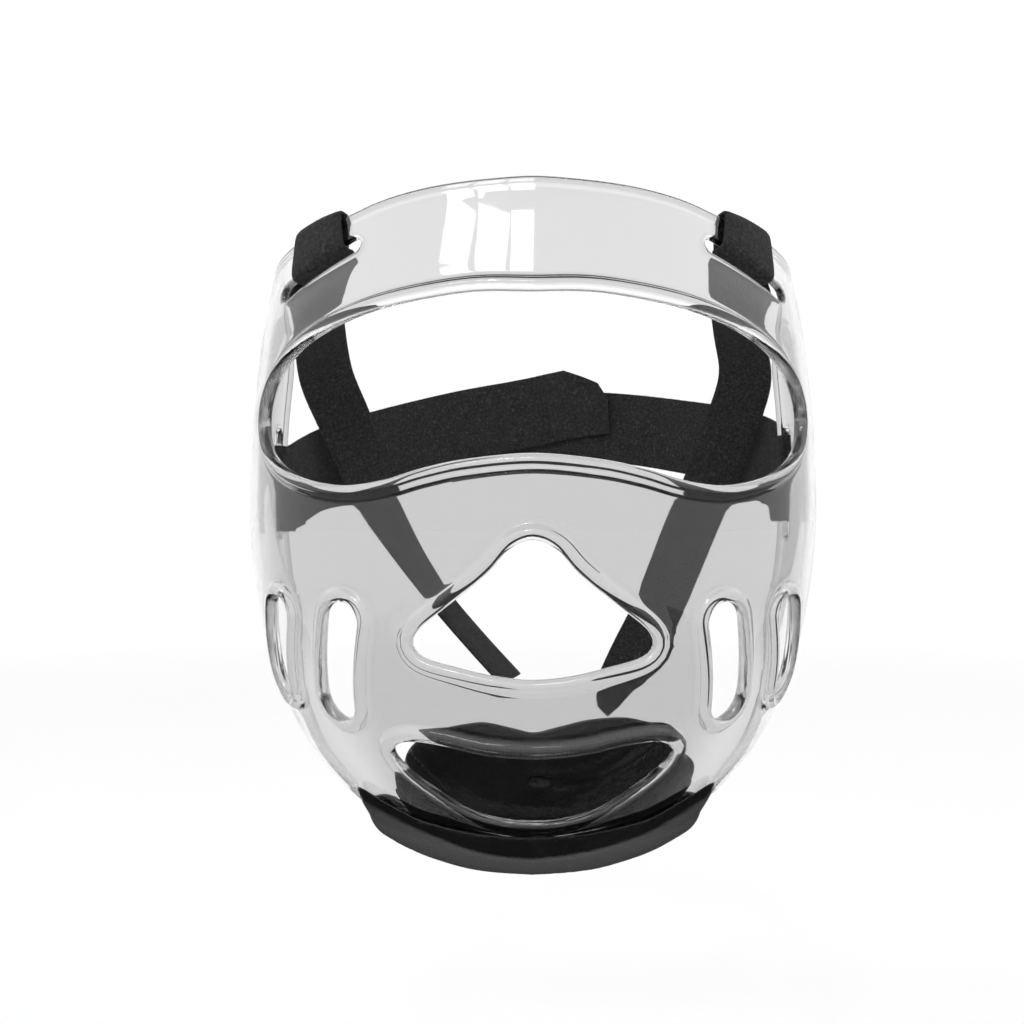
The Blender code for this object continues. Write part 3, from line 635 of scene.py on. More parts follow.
def ribbon(name, rows, seed, across=STRAP_COLUMNS):
    """Strap through rows of points across its width, with soft edges and coordinates along its length."""
    grid, places = refined(rows, STRAP_STEP, across)
    normal = unit(np.cross(np.gradient(grid, axis=0), np.gradient(grid, axis=1)))
    share = np.linspace(-1, 1, across)
    half = WEB / 2 * (1 - EDGE_THINNING * np.abs(share) ** EDGE_SHARPNESS)[None, :, None]
    top, low = ((grid + normal * half * side).reshape(-1, 3) for side in (1, -1))
    count, base = len(grid), len(top)
    u = places / WEAVE_MM
    v = (share + 1) / 2 * np.linalg.norm(grid[count // 2, -1] - grid[count // 2, 0]) / WEAVE_MM
    ids = np.arange(base).reshape(count, across)
    faces = []
    for a, b in zip(ids[:-1, :-1].ravel().tolist(), ids[1:, :-1].ravel().tolist()):
        faces += [(a, a + 1, b + 1, b), (base + b, base + b + 1, base + a + 1, base + a)]
    rim = np.concatenate((ids[:, 0], ids[-1, 1:], ids[-2::-1, -1], ids[0, -2:0:-1])).tolist()
    faces += [(a, b, base + b, base + a) for a, b in zip(rim, rim[1:] + rim[:1])]
    at = np.concatenate(faces) % base
    nap, nap_rows, nap_columns = fibres(grid, normal, int(places[-1] * FIBRES_PER_MM), seed)
    faces += (np.arange(len(nap)).reshape(-1, 3) + 2 * base).tolist()
    uvs = pairs(u[at // across], v[at % across])
    nap_uvs = pairs(u[nap_rows], v[nap_columns]).repeat(3, axis=0)
    mesh = bpy.data.meshes.new(name)
    mesh.from_pydata((np.vstack((top, low, nap)) * MM).tolist(), [], faces)
    mesh.uv_layers.new(name="weave").data.foreach_set("uv", np.vstack((uvs, nap_uvs)).ravel())
    face_outward(mesh)
    mesh.set_sharp_from_angle(angle=SHARP_ANGLE)
    return new_object(name, mesh)


def bar_edge():
    """Places round a bar's near edge, from outside to inside: along the bar and out of the wall."""
    corner = BAR_EDGE * math.sqrt(0.5)
    return [(BAR_INSET, BAR_FLAT), (-corner, WALL / 2 + corner), (-BAR_EDGE, 1.0), (-BAR_EDGE, -1.0),
            (-corner, -WALL / 2 - corner)]


def bar_loop(bar_length):
    """Places of a strap round a bar, from the inside over the far edge, the outside and the near edge."""
    far = [(bar_length - along, out) for along, out in reversed(bar_edge())]
    return [(bar_length - BAR_INSET, -BAR_FLAT)] + far + [(bar_length / 2, BAR_FLAT)] + bar_edge()


def smooth_route(route, place):
    """Middle and width direction at a place along a route, counted in its stations."""
    p = np.array(route, float)
    last = len(p) - 1
    i = min(int(place), last - 1)
    value = through(*(p[min(max(i + k, 0), last)] for k in (-1, 0, 1, 2)), place - i)
    return value[:3], value[3:]


def route_frame(route, place):
    """Middle, direction of the width and direction off the face at a place along a route."""
    middle, wide = smooth_route(route, place)
    after, before = min(place + NEAR_STATION, len(route) - 1), max(place - NEAR_STATION, 0)
    along = unit(smooth_route(route, after)[0] - smooth_route(route, before)[0])
    wide = unit(wide - along * wide.dot(along))
    lift = np.cross(wide, along) if route[0].x < 0 else np.cross(along, wide)
    return middle, wide, lift


def slot_upper_edge(slot, angle):
    """Height of a slot's upper edge at an angle."""
    run = math.radians(slot.low_angle - slot.top_angle) * shell_reach(angle, slot.low_z)
    drop = slot.low_z - slot.top_z
    share = (angle - slot.top_angle) / (slot.low_angle - slot.top_angle)
    return slot.top_z + drop * share + slot.width / 2 * math.hypot(run, drop) / run


def fold_row(route, reach, lift, shares):
    """Row of a top strap's folded end, which lies on the strap."""
    middle, wide, up = route_frame(route, reach)
    return [middle + up * lift + wide * (share * STRAP_WIDTH / 2) for share in shares]


def crown_bar_row(side, step, shares):
    """Row of a top strap at a step of its way round the bar above its slot."""
    crown = [slot for slot in SIDE_SLOTS if slot.name == "crown"][0]
    row = []
    for share in shares:
        low_angle = CROWN_OUTER_ANGLE + (CROWN_INNER_ANGLE - CROWN_OUTER_ANGLE) * (share + 1) / 2
        low_z = slot_upper_edge(crown, low_angle)
        top_angle = low_angle + CROWN_LEAN
        top_z = edge_z("top", top_angle)
        length = np.linalg.norm(shell_point(top_angle, top_z) - shell_point(low_angle, low_z))
        up, out = bar_loop(length)[step]
        angle = low_angle + (top_angle - low_angle) * up / length
        row.append(shell_point(side * angle, low_z + (top_z - low_z) * up / length, out))
    return row


def crown_strap_rows(route, cut_off):
    """Rows of a top strap: folded end, over the bar above its slot, through the slot and along its route."""
    side = 1 if route[0].x > 0 else -1
    shares = np.linspace(-1, 1, ROUTE_COLUMNS)
    cuts = np.interp(shares, CUT_SHARES, cut_off)
    rows = [fold_row(route, reach, lift, shares) for reach, lift in zip(FOLD_REACH, FOLD_LIFT)][::-1]
    rows += [crown_bar_row(side, step, shares) for step in range(len(bar_loop(1.0)))]
    last = len(route) - 1
    for k in range(last * ROWS_PER_STATION + 1):
        row = []
        for share, cut in zip(shares, cuts):
            place = k / ROWS_PER_STATION
            place -= cut * max(place - last + CUT_REACH, 0.0) / CUT_REACH
            middle, wide, _ = route_frame(route, place)
            row.append(middle + wide * (share * STRAP_WIDTH / 2))
        rows.append(row)
    return rows


def band_point(levels, side, turn, across, lift=0.0):
    """Point of a rear band half by its turn round the head and its place across the width."""
    def middle(angle):
        a = math.radians(angle)
        return np.array((side * BAND_HALF_WIDTH * math.cos(a),
                         BAND_START + (BAND_BACK - BAND_START) * math.sin(a),
                         float(lookup(levels, "turn", "z", angle))))

    along = unit(middle(turn + 1) - middle(turn - 1))
    wide = unit(np.array((0, 0, 1)) - along * along[2])
    out = np.cross(wide, along) * side
    lift += side * ease(turn, *BAND_OVERLAP) * (WEB + BAND_GAP) / 2
    return middle(turn) + wide * across - out * lift


def rear_band_rows(levels, side, ends):
    """Rows of a rear band half: folded end inside, through the temple slot, and back round the head."""
    shares = np.linspace(-1, 1, ROUTE_COLUMNS)
    across = shares * BAND_WIDTH / 2
    ends = np.interp(shares, CUT_SHARES, ends)
    inside = WEB + FIT_GAP
    rows = []
    for turn in BAND_FOLD_TURNS:
        rows.append([band_point(levels, side, turn, w, -inside) for w in across])
    length = math.radians(REAR_ANGLE - TEMPLE_BAR) * float(shell_reach(REAR_ANGLE, levels[0].z))
    past = length + BAR_INSET
    loop = [(past, -BAR_FLAT), (length / 2, -BAR_FLAT)] + [(along, -out) for along, out in bar_edge()]
    for along, out in loop + [(length / 2, BAR_FLAT), (past, BAR_FLAT)]:
        angle = TEMPLE_BAR + (REAR_ANGLE - TEMPLE_BAR) * along / length
        rows.append([shell_point(side * angle, levels[0].z + w, out) for w in across])
    for turn in [*BAND_FOLD_TURNS[::-1], *BAND_TURNS]:
        rows.append([band_point(levels, side, turn, w) for w in across])
    last = BAND_TURNS[-1]
    for share in (0.5, 1.0):
        rows.append([band_point(levels, side, last + (end - last) * share, w)
                     for w, end in zip(across, ends)])
    return rows


def unit_ring(turn, power):
    """Point of a rounded section with unit half sizes, by its turn in radians."""
    x, z = np.cos(turn), np.sin(turn)
    return pairs(*(np.sign(v) * np.abs(v) ** (2 / power) for v in (x, z)))


RollSection = namedtuple("RollSection", "base level normal half_depth half_height lip")


def roll_section(angle):
    """Place and sizes of the roll's section: level faces out, and lip is the rise of its outer side."""
    end, end_lip = (ROLL_RIGHT_END, RIGHT_END_LIP) if angle > 0 else (ROLL_LEFT_END, LEFT_END_LIP)
    taper = float(ease(abs(angle), ROLL_TAPER_FROM, end))
    past = min(max((abs(angle) / end - ROLL_CAP) / (1 - ROLL_CAP), 0.0), 1.0)
    cap = math.sqrt(1 - ROLL_CAP_LOSS * past ** 2)
    z = float(edge_z("bottom", angle))
    normal = shell_normal(angle, z)
    level = unit(np.array((normal[0], normal[1], 0.0)))
    half_depth = ROLL_DEPTH / 2 * (1 - ROLL_TAPER * taper) * cap
    half_depth = max(half_depth, WALL / 2 + GROOVE_GAP + THINNEST_COVER)
    lip = (ROLL_LIP + (end_lip - ROLL_LIP) * taper) * cap
    return RollSection(shell_point(angle, z), level, normal, half_depth, ROLL_HEIGHT / 2 * cap, lip)


def mouth_turn(start, direction, half):
    """Turn at which a line in the section's plane leaves the roll, and how far along it that is."""
    low, high = 0.0, LONGEST_REACH
    for _ in range(HALVINGS):
        reach = (low + high) / 2
        if np.sum(np.abs((start + direction * reach) / half) ** ROLL_POWER) < 1:
            low = reach
        else:
            high = reach
    n, h = (start + direction * low) / half
    turn = math.atan2(*(math.copysign(abs(x) ** (ROLL_POWER / 2), x) for x in (h, n)))
    return turn, low


def wall_bend(angle, place, upwards, heights):
    """How far the curved wall stands off its own tangent at the heights above the shell's lower edge."""
    samples = np.linspace(0, BEND_TOP, BEND_STEPS)
    slant = upwards[0] / upwards[1]
    away = (shell_point(angle, place.base[2] + samples) - place.base) @ place.level
    return np.interp(heights, samples, away - samples * slant)


# Seam between the glossy and the satin face of the roll, whose paler colour is painted light, by its height
# above the shell's lower edge
ROLL_SEAM = table("angle above",
    (-61.5, 3.0), (-53.5, 4.2), (-46, 3.4), (-35.5, 2.4), (-29, 1.5), (-18, 0.4), (0, -0.2), (19.5, 0.6),
    (33.5, 1.4), (43.5, 2.2), (53, 4.0), (63.0, 6.0),
)
RollRing = namedtuple("RollRing", "points satin crease")


def roll_ring(angle):
    """Ring of points round the roll's cover and down into its groove, with the marks of the cover: its satin
    face, which also carries painted light, and its crease.
    """
    place = roll_section(angle)
    across = unit(np.array((place.normal.dot(place.level), place.normal[2])))
    upwards = np.array((-across[1], across[0]))
    floor = upwards * -GROOVE_GAP
    beside = across * (WALL / 2 + GROOVE_GAP)
    half = np.array((place.half_depth, place.half_height))
    out_turn, out_reach = mouth_turn(floor + beside, upwards, half)
    in_turn, in_reach = mouth_turn(floor - beside, upwards, half)
    if in_turn < 0:
        in_turn += 2 * math.pi
    turns = np.linspace(out_turn, in_turn - 2 * math.pi, ROLL_AROUND)
    climb = ease(turns, min(LIP_TURN, out_turn - LIP_LEAST), out_turn)
    cover = unit_ring(turns, ROLL_POWER) * half + upwards * (place.lip * climb)[:, None]
    seam = float(lookup(ROLL_SEAM, "angle", "above", angle))
    outside = turns > OUTSIDE_TURN
    # The satin face below the seam is rougher; its paler colour is painted light
    satin = ease(seam - cover[:, 1], *SATIN_FADE) * outside
    crease = np.exp(-((cover[:, 1] - seam) / CREASE_WIDTH) ** 2) * outside
    shares = np.linspace(1, 0, GROOVE_STEPS + 1)[1:]
    inner = [floor - beside + upwards * (in_reach * share) for share in shares]
    outer = [floor + beside + upwards * ((out_reach + place.lip) * share) for share in shares[::-1]]
    ring = np.vstack((cover, inner, outer))
    ring[:, 0] += wall_bend(angle, place, upwards, ring[:, 1])
    return RollRing(place.base + place.level * ring[:, :1] + UP * ring[:, 1:], satin, crease)


def make_roll():
    """Padded roll whose cover turns into a groove that holds the shell's lower edge."""
    rings = []
    for k in range(ROLL_STATIONS + 1):
        share = math.sin((2 * k / ROLL_STATIONS - 1) * math.pi / 2)
        rings.append(roll_ring(share * (ROLL_RIGHT_END if share > 0 else ROLL_LEFT_END)))
    rows, satin, crease = (np.array(column(rings, name)) for name in RollRing._fields)
    count, around = rows.shape[:2]
    normals = unit(np.cross(np.gradient(rows, axis=0), np.roll(rows, -1, 1) - np.roll(rows, 1, 1)))
    middle = rows.mean(axis=1, keepdims=True)
    normals *= np.sign(np.sum(normals * (rows - middle), axis=2, keepdims=True).mean())
    fade = np.sin(np.linspace(0, math.pi, ROLL_AROUND)) ** COVER_POWER
    lift = np.zeros((count, around))
    relief = wrinkle_field(rows[:, :ROLL_AROUND]) * fade
    lift[:, :ROLL_AROUND] = relief * (1 - SATIN_CALM * satin) - CREASE_DEPTH * crease
    rows = rows + normals * lift[..., None]
    first, last = list(range(around)), list(range((count - 1) * around, count * around))
    faces = ring_faces(0, count, around) + [first[::-1], last]
    roll = mesh_object("padded_roll", rows.reshape(-1, 3), faces)
    # Mask of the satin face, which also carries the painted light into the colour
    satin_and_painted_light_values = np.zeros((count, around))
    satin_and_painted_light_values[:, :ROLL_AROUND] = satin
    add_attribute(roll, "satin", satin_and_painted_light_values.ravel())
    return roll


Ripple = namedtuple("Ripple", "scale seed octaves")
SHELL_FLOW = Ripple(46.0, 21, 2)
ROLL_SWELL = Ripple(34.0, 3, 2)
ROLL_CRINKLE = Ripple(5.0, 5, 2)
CUP_SWELL = Ripple(21.0, 14, 2)
CUP_CRUMPLE = Ripple(5.0, 9, 2)
WAVES_EACH = 6  # waves in an octave
FINER = 1.9  # how much shorter and lower the next octave's waves are
LOWER = 0.55
WAVES_SUM = 1.6


def waves(points, ripple):
    """Smooth repeatable field of values between about -1 and 1 at the points."""
    pick = np.random.default_rng(ripple.seed)
    total = np.zeros(points.shape[:-1])
    for octave in range(ripple.octaves):
        scale = ripple.scale / FINER ** octave
        for _ in range(WAVES_EACH):
            direction = unit(pick.normal(size=3))
            phase = pick.uniform(0, 2 * math.pi)
            wave = np.sin(points @ direction * (2 * math.pi / scale) + phase)
            total += LOWER ** octave * wave / WAVES_EACH ** 0.5
    return total / WAVES_SUM


# Middle and half length of the places where the roll's cover is crinkled
CRINKLES = ((13.0, 15.0), (-40.0, 4.0), (44.0, 4.0))
CRINKLE_HEIGHT = 0.6
SWELL_HEIGHT = 0.2
RIDGE_STRETCH = (1.0, 1.0, 1.8)
RIDGE_SHARPNESS = 5


def ridges(points, ripple):
    """Net of thin raised lines, as in crumpled vinyl, between 0 and 1."""
    return np.clip(1 - np.abs(waves(points * RIDGE_STRETCH, ripple)), 0, 1) ** RIDGE_SHARPNESS


def wrinkle_field(rows):
    """Gentle unevenness of a stuffed vinyl cover, with tighter crinkles in places. It is never above 0."""
    place = sum(np.exp(-((rows[..., 0] - x) / reach) ** 2) for x, reach in CRINKLES)
    swell = (waves(rows, ROLL_SWELL) - 1) * SWELL_HEIGHT
    return swell + (ridges(rows, ROLL_CRINKLE) - 1) * CRINKLE_HEIGHT * place


def closed_rows(rows):
    """Points and faces of a tube through closed rows of points, with a point at each end."""
    count, around = rows.shape[:2]
    body = count * around
    points = np.vstack((rows.reshape(-1, 3), rows[0].mean(axis=0)[None], rows[-1].mean(axis=0)[None]))
    faces = ring_faces(0, count, around)
    for c in range(around):
        n = (c + 1) % around
        faces += [(body, n, c), (body + 1, body - around + c, body - around + n)]
    return points, faces


# Folds sewn into the cup's face, which sag between their two ends
CUP_FOLDS = table("from_angle from_z to_angle to_z sag depth",
    (0.0, -77.0, 29.0, -65.5, -4.5, 1.9), (6.0, -79.2, 17.0, -77.3, -0.5, 1.2),
    (-34.0, -70.0, -27.0, -84.0, 0.0, 0.9),
)
CUP_CRUMPLES = table("angle z angle_reach z_reach",
    (10, -84, 9, 4.5), (-31, -70, 5, 4), (33, -66, 4, 4), (8, -62, 14, 2),
)
PER_DEGREE = 1.1  # millimetres of the cup's face in a degree
FOLD_WIDTH = 1.1
FOLD_SWELL = 0.35  # the cushion beside a fold stands out by this share of its depth
FOLD_SWELL_AWAY = 2.6
FOLD_SWELL_WIDTH = 1.4


def even_ring(count, power, size):
    """Points of a rounded section with unit half sizes, at even distances when it has the given size."""
    fine = unit_ring(np.linspace(0, 2 * math.pi, 4001), power)
    reach = reach_along(np.linalg.norm(np.diff(fine, axis=0) * size, axis=1))
    return read_columns(fine, reach, np.arange(count) * reach[-1] / count)


def make_cup():
    """Inner pad of the chin, hollowed where it rests on the roll."""
    rows = []
    first, last = CUP_EDGES[0].angle, CUP_EDGES[-1].angle
    ring = even_ring(CUP_AROUND, CUP_POWER, np.array((CUP_THICK, CUP_HEIGHT)))
    facing = np.clip(-ring[:, 0], 0, 1) ** FACE_POWER
    for k in range(CUP_STATIONS + 1):
        t = 2 * k / CUP_STATIONS - 1
        angle = (first + last) / 2 + (last - first) / 2 * math.sin(t * math.pi / 2)
        top = float(lookup(CUP_EDGES, "angle", "top", angle))
        bottom = float(edge_z("bottom", angle)) + CUP_ABOVE_EDGE
        thick = CUP_THICK * math.sqrt(max(1 - abs(t) ** CUP_END_POWER, CUP_THINNEST))
        z = (top + bottom) / 2 + ring[:, 1] * (top - bottom) / 2
        out = -WALL / 2 - CUP_GAP - thick / 2 * (1 + ring[:, 0])
        row = shell_point(angle, z, out - cup_dent(angle, z) * facing)
        rows.append(clear_of_roll(angle, row))
    points, faces = closed_rows(np.array(rows))
    return mesh_object("padded_cup", points, faces)


def cup_dent(angle, z):
    """How deep the cup's face lies under its full thickness, with its folds and crumples."""
    place = shell_point(angle, z)
    dent = CUP_INSET + CUP_SWELL_HEIGHT * waves(place, CUP_SWELL)
    for fold in CUP_FOLDS:
        dent = dent + fold.depth * fold_depth(angle, z, fold)
    for spot in CUP_CRUMPLES:
        near = ((angle - spot.angle) / spot.angle_reach) ** 2 + ((z - spot.z) / spot.z_reach) ** 2
        dent = dent - CRUMPLE_HEIGHT * ridges(place, CUP_CRUMPLE) * np.exp(-near)
    return dent


def fold_depth(angle, z, fold):
    """How deep a fold is at points of the wall: one at its line, fading over its sides and ends."""
    start = np.array((fold.from_angle * PER_DEGREE, fold.from_z))
    run = np.array((fold.to_angle * PER_DEGREE, fold.to_z)) - start
    place = pairs(np.full_like(z, angle * PER_DEGREE), z)
    share = np.clip(((place - start) @ run) / run.dot(run), 0, 1)
    nearest = start + run * share[:, None]
    nearest[:, 1] += fold.sag * np.sin(share * math.pi)
    away = np.linalg.norm(place - nearest, axis=1)
    swell = np.exp(-((away - FOLD_SWELL_AWAY) / FOLD_SWELL_WIDTH) ** 2)
    return np.exp(-(away / FOLD_WIDTH) ** 2) - FOLD_SWELL * swell


def clear_of_roll(angle, row):
    """The row of points moved out of the roll, with the fitting gap between them."""
    if not -ROLL_LEFT_END < angle < ROLL_RIGHT_END:
        return row
    place = roll_section(angle)
    half = np.array((place.half_depth + FIT_GAP, place.half_height + FIT_GAP))
    local = row - place.base
    flat = pairs(local @ place.level, local[:, 2])
    depth = np.sum(np.abs(flat / half) ** ROLL_POWER, axis=1) ** (1 / ROLL_POWER)
    push = np.where(depth < 1, 1 / np.maximum(depth, LEAST_DEPTH), 1)
    moved = flat * push[:, None] - flat
    return row + place.level * moved[:, :1] + UP * moved[:, 1:]


def new_material(name):
    material = bpy.data.materials.new(name)
    material.use_nodes = True
    return material, material.node_tree, material.node_tree.nodes["Principled BSDF"]


def feed(node, **values):
    """Fills a node's inputs, each with a constant or with the output of another node."""
    for name, value in values.items():
        socket = node.inputs[name.replace("_", " ")]
        if isinstance(value, bpy.types.NodeSocket):
            node.id_data.links.new(value, socket)
        else:
            socket.default_value = value


def add_node(tree, kind, **values):
    node = tree.nodes.new("ShaderNode" + kind)
    feed(node, **values)
    return node


def object_place(tree):
    return add_node(tree, "TexCoord").outputs["Object"]


def add_noise(tree, scale, detail=2.0, rough=0.5):
    noise = add_node(tree, "TexNoise", Vector=object_place(tree), Scale=scale, Detail=detail, Roughness=rough)
    return noise.outputs["Fac"]


def add_range(tree, value, low, high, start=0.0, end=1.0):
    node = add_node(tree, "MapRange", Value=value, From_Min=start, From_Max=end, To_Min=low, To_Max=high)
    return node.outputs["Result"]


def add_bump(tree, height, distance, strength, under=None):
    bump = add_node(tree, "Bump", Strength=strength, Distance=distance, Height=height)
    if under:
        feed(bump, Normal=under)
    return bump.outputs["Normal"]


def add_ramp(tree, value, colours):
    ramp = add_node(tree, "ValToRGB", Fac=value)
    stops = ramp.color_ramp.elements
    stops[0].position, stops[0].color = colours[0]
    stops[1].position, stops[1].color = colours[-1]
    for place, colour in colours[1:-1]:
        stops.new(place).color = colour
    return ramp.outputs["Color"]


def stored_value(tree, name):
    """Value that the mesh holds at its points."""
    node = add_node(tree, "Attribute")
    node.attribute_name = name
    return node.outputs["Fac"]


def grey(value):
    return (value, value, value, 1.0)


SHADOW_CLARITY = 0.7  # of the clear wall, for the light that makes shadows
# Painted light: the paler colour of the roll's satin lower face stands for the light it catches from below
SATIN_PAINTED_LIGHT = 0.047
SATIN_ROUGHNESS = 0.42
PALER = 1.8  # how much paler than the rest the vinyl's spots are
ROUGHER = 0.14  # and how much rougher
CELLS_PER_METRE = 1150.0


def clear_plastic():
    """Clear moulded plastic that lets light through to what is behind it."""
    material, tree, shader = new_material("clear_plastic")
    # Its colour is the stored clarity: the plastic's tint with painted light by place
    feed(shader, Transmission_Weight=1.0, IOR=1.38, Coat_Weight=0.38, Coat_Roughness=0.02, Coat_IOR=1.5,
         Base_Color=stored_value(tree, "clarity_and_painted_light"),
         Roughness=add_range(tree, add_noise(tree, 60.0, 4.0), 0.015, 0.05, 0.3, 0.75),
         Normal=add_bump(tree, add_noise(tree, 38.0, 1.0), 0.0006, 0.25))
    passing = add_node(tree, "BsdfTransparent", Color=grey(SHADOW_CLARITY))
    mix = add_node(tree, "MixShader", Fac=add_node(tree, "LightPath").outputs["Is Shadow Ray"])
    for source, socket in zip((shader, passing), mix.inputs[1:]):
        tree.links.new(source.outputs["BSDF"], socket)
    feed(tree.nodes["Material Output"], Surface=mix.outputs["Shader"])
    return material


def vinyl(name, tone, gloss, grain, specular, satin=None):
    """Black vinyl with a fine grain. The attribute named by the last argument marks its satin faces, which
    are rougher and painted paler for the light they catch from below.
    """
    material, tree, shader = new_material(name)
    colour = add_ramp(tree, add_noise(tree, 90.0, 4.0), ((0.3, grey(tone)), (0.75, grey(tone * PALER))))
    rough = add_range(tree, add_noise(tree, 140.0, 3.0), gloss, gloss + ROUGHER, 0.35, 0.7)
    if satin:
        satin_and_painted_light_mask = stored_value(tree, satin)
        mix = add_node(tree, "Mix")
        mix.data_type = 'RGBA'
        feed(mix, Factor=satin_and_painted_light_mask, A=colour, B=grey(SATIN_PAINTED_LIGHT))
        colour = mix.outputs["Result"]
        rough = add_range(tree, satin_and_painted_light_mask, rough, SATIN_ROUGHNESS)
    cells = add_node(tree, "TexVoronoi", Vector=object_place(tree), Scale=CELLS_PER_METRE)
    low = add_bump(tree, add_noise(tree, 260.0, 3.0), 0.0012 * grain, 0.6)
    high = add_bump(tree, cells.outputs["Distance"], 0.0004 * grain, 0.6, low)
    feed(shader, Specular_IOR_Level=specular, Base_Color=colour, Roughness=rough, Normal=high)
    return material


def strap_cloth():
    """Black hook-and-loop strap: a dull napped face with lighter lint."""
    material, tree, shader = new_material("strap_cloth")
    tones = ((0.35, grey(0.009)), (0.6, grey(0.026)), (0.8, grey(0.07)))
    place = add_node(tree, "UVMap")
    place.uv_map = "weave"
    rib = add_node(tree, "TexWave", Vector=place.outputs["UV"], Scale=2.6, Distortion=1.2, Detail=1.0)
    low = add_bump(tree, rib.outputs["Fac"], 0.0001, 0.25)
    feed(shader, Sheen_Weight=0.04, Sheen_Roughness=0.5, Specular_IOR_Level=0.2,
         Base_Color=add_ramp(tree, add_noise(tree, 900.0, 3.0, 0.7), tones),
         Roughness=add_range(tree, add_noise(tree, 120.0), 0.85, 1.0, 0.3, 0.7),
         Normal=add_bump(tree, add_noise(tree, 1500.0, 3.0, 0.7), 0.0006, 0.8, low))
    return material


FLOOR_HALF = 60.0
FLOOR_Z = -0.30
FLOOR_TONES = (0.871, 0.891)
CARD_HALF = 1.2
CARD_NEAR = 0.35
CARD_FAR = -3.0
CARD_DARK_FROM = -0.55  # it turns from white at the far edge to dark here
CARD_DARK = 0.04
CARD_LIFT = 0.02
CEILING_HEIGHT = 1.2
CEILING_RADIUS = 1.10
# Dark and bright level, and the distances from the middle where the one ends and the other begins
CEILING_GLOW = (0.1, 1.6, 0.70, 1.10)
LIGHT_BOUNCES = 32  # the clear rims pass light on many times
SKY_PEAK = 1.8
# Brightness of the sky by the sine of the elevation
SKY_TONES = ((0.0, 1.03), (0.30, 1.05), (0.52, 1.8), (0.74, 1.6), (0.86, 0.5), (1.0, 0.42))


def hide(thing, *kinds):
    """Hides a thing from the named kinds of light."""
    for kind in kinds:
        setattr(thing, "visible_" + kind, False)


def add_plane(name, half, near, far, z, material):
    """Level rectangle for the stage."""
    mesh = bpy.data.meshes.new(name)
    mesh.from_pydata([(-half, near, z), (half, near, z), (half, far, z), (-half, far, z)], [], [(0, 1, 2, 3)])
    mesh.materials.append(material)
    return new_object(name, mesh)


def make_floor():
    material, tree, shader = new_material("floor_white")
    tone = add_ramp(tree, add_noise(tree, 2.0), [(k, grey(level)) for k, level in enumerate(FLOOR_TONES)])
    feed(shader, Roughness=0.9, Base_Color=tone, Emission_Strength=0.01, Emission_Color=grey(1.0))
    floor = add_plane("floor", FLOOR_HALF, -FLOOR_HALF, FLOOR_HALF, FLOOR_Z, material)


def glow_material(name):
    """Black material whose only light is its own."""
    material, tree, shader = new_material(name)
    feed(shader, Roughness=1.0, Base_Color=grey(0.0), Specular_IOR_Level=0.0, Emission_Color=grey(1.0))
    return material, tree, shader


def make_dark_card():
    """Dark card low in front of the object. Only reflections show it, as a studio's black card does."""
    material, tree, shader = glow_material("card_black")
    split = add_node(tree, "SeparateXYZ", Vector=object_place(tree))
    glow = add_range(tree, split.outputs["Y"], 1.0, CARD_DARK, CARD_FAR, CARD_DARK_FROM)
    feed(shader, Emission_Strength=glow)
    card = add_plane("dark_card", CARD_HALF, CARD_NEAR, CARD_FAR, FLOOR_Z + CARD_LIFT, material)
    hide(card, "camera", "transmission", "diffuse", "shadow")


def make_ceiling():
    """Dark ceiling over the object, bright at its rim. It isn't seen through the clear plastic."""
    bm = bmesh.new()
    bmesh.ops.create_circle(bm, cap_ends=True, segments=64, radius=CEILING_RADIUS)
    mesh = bpy.data.meshes.new("ceiling")
    bm.to_mesh(mesh)
    bm.free()
    ceiling = new_object("ceiling", mesh)
    ceiling.location.z = CEILING_HEIGHT
    material, tree, shader = glow_material("ceiling_dark")
    away = add_node(tree, "VectorMath", Vector=object_place(tree))
    away.operation = 'LENGTH'
    feed(shader, Emission_Strength=add_range(tree, away.outputs["Value"], *CEILING_GLOW))
    mesh.materials.append(material)
    hide(ceiling, "camera", "transmission")


def make_world():
    """White surroundings up to a middle height, dark overhead."""
    scene = bpy.context.scene
    world = bpy.data.worlds.new("studio")
    scene.world = world
    world.use_nodes = True
    tree = world.node_tree
    split = add_node(tree, "SeparateXYZ", Vector=add_node(tree, "TexCoord").outputs["Generated"])
    level = add_ramp(tree, split.outputs["Z"], [(rise, grey(tone / SKY_PEAK)) for rise, tone in SKY_TONES])
    feed(tree.nodes["Background"], Color=level, Strength=SKY_PEAK)
    scene.view_settings.view_transform = 'Standard'
    scene.cycles.max_bounces = LIGHT_BOUNCES
    scene.cycles.transmission_bounces = LIGHT_BOUNCES
    scene.cycles.glossy_bounces = LIGHT_BOUNCES // 2


Lamp = namedtuple("Lamp", "name turn rise distance width height radiance")
# Panes of a window, by their direction from the forehead in degrees
WINDOW = (
    Lamp("pane_left", -26.8, 42.6, 1.2, 0.180, 0.190, 7.0),
    Lamp("pane_middle", -13.2, 42.6, 1.2, 0.175, 0.220, 7.0),
    Lamp("pane_right", -3.0, 42.8, 1.2, 0.100, 0.220, 7.0),
    Lamp("sun", -12.4, 42.0, 1.15, 0.06, 0.06, 45.0),
)
FOREHEAD = Vector((0.0, -0.092, 0.087))
OVERHEAD = Lamp("overhead", 0.0, 89.0, 1.5, 1.6, 1.6, 0.35)


def add_lamp(lamp, target, *hidden):
    """Rectangular lamp that faces its target, hidden from the camera and the named kinds of light."""
    turn, rise = math.radians(lamp.turn), math.radians(lamp.rise)
    away = Vector((math.sin(turn) * math.cos(rise), -math.cos(turn) * math.cos(rise), math.sin(rise)))
    light = bpy.data.lights.new(lamp.name, 'AREA')
    light.shape = 'RECTANGLE'
    light.size, light.size_y = lamp.width, lamp.height
    light.energy = lamp.radiance * math.pi * lamp.width * lamp.height
    thing = new_object(lamp.name, light)
    thing.location = target + away * lamp.distance
    thing.rotation_euler = (-away).to_track_quat('-Z', 'Y').to_euler()
    hide(thing, "camera", *hidden)


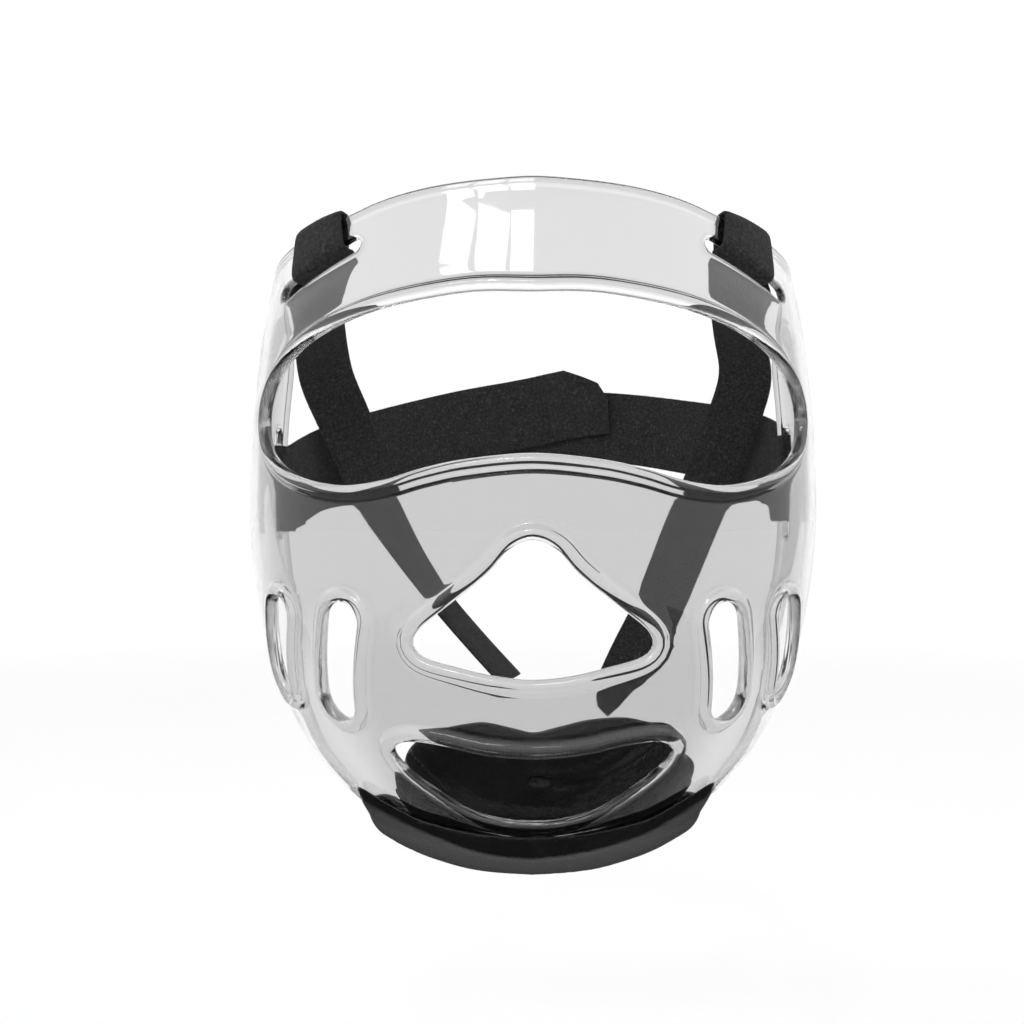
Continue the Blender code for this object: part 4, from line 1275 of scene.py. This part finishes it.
def make_lights():
    for lamp in WINDOW:
        add_lamp(lamp, FOREHEAD)
    add_lamp(OVERHEAD, Vector(), "glossy", "transmission")


def make_camera():
    camera = bpy.data.cameras.new("camera")
    camera.sensor_width = SENSOR
    camera.lens = FOCAL_PIXELS * SENSOR / FRAME_PIXELS
    camera.shift_x = (FRAME_PIXELS / 2 - AXIS_PIXEL[0]) / FRAME_PIXELS
    camera.shift_y = (AXIS_PIXEL[1] - FRAME_PIXELS / 2) / FRAME_PIXELS
    camera.clip_start = 0.01
    thing = new_object("camera", camera)
    thing.location = (0.0, -VIEW_DISTANCE, 0.0)
    thing.rotation_euler = (math.pi / 2, 0.0, 0.0)
    bpy.context.scene.camera = thing


Piece = namedtuple("Piece", "thing node slot material")


def main():
    cloth = strap_cloth()
    pieces = (
        Piece(make_shell(), "face_shell", "clear_plastic", clear_plastic()),
        Piece(make_roll(), "chin_roll", "black_vinyl", vinyl("black_vinyl", 0.004, 0.12, 0.4, 0.3, "satin")),
        Piece(make_cup(), "chin_cup", "cup_vinyl", vinyl("cup_vinyl", 0.005, 0.16, 0.6, 0.12)),
        Piece(ribbon("strap_left", crown_strap_rows(LEFT_STRAP_ROUTE, LEFT_STRAP_END), 31),
              "crown_strap_left", "strap_cloth", cloth),
        Piece(ribbon("strap_right", crown_strap_rows(RIGHT_STRAP_ROUTE, RIGHT_STRAP_END), 32),
              "crown_strap_right", "strap_cloth", cloth),
        Piece(ribbon("band_left", rear_band_rows(LEFT_BAND_LEVELS, -1, LEFT_BAND_ENDS), 33, BAND_COLUMNS),
              "rear_band_left", "strap_cloth", cloth),
        Piece(ribbon("band_right", rear_band_rows(RIGHT_BAND_LEVELS, 1, RIGHT_BAND_ENDS), 34, BAND_COLUMNS),
              "rear_band_right", "strap_cloth", cloth),
    )
    for piece in pieces:
        piece.thing.data.materials.append(piece.material)
        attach(piece.thing, "root")
        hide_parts(piece.node)
    make_floor()
    make_dark_card()
    make_ceiling()
    make_world()
    make_lights()
    make_camera()


main()
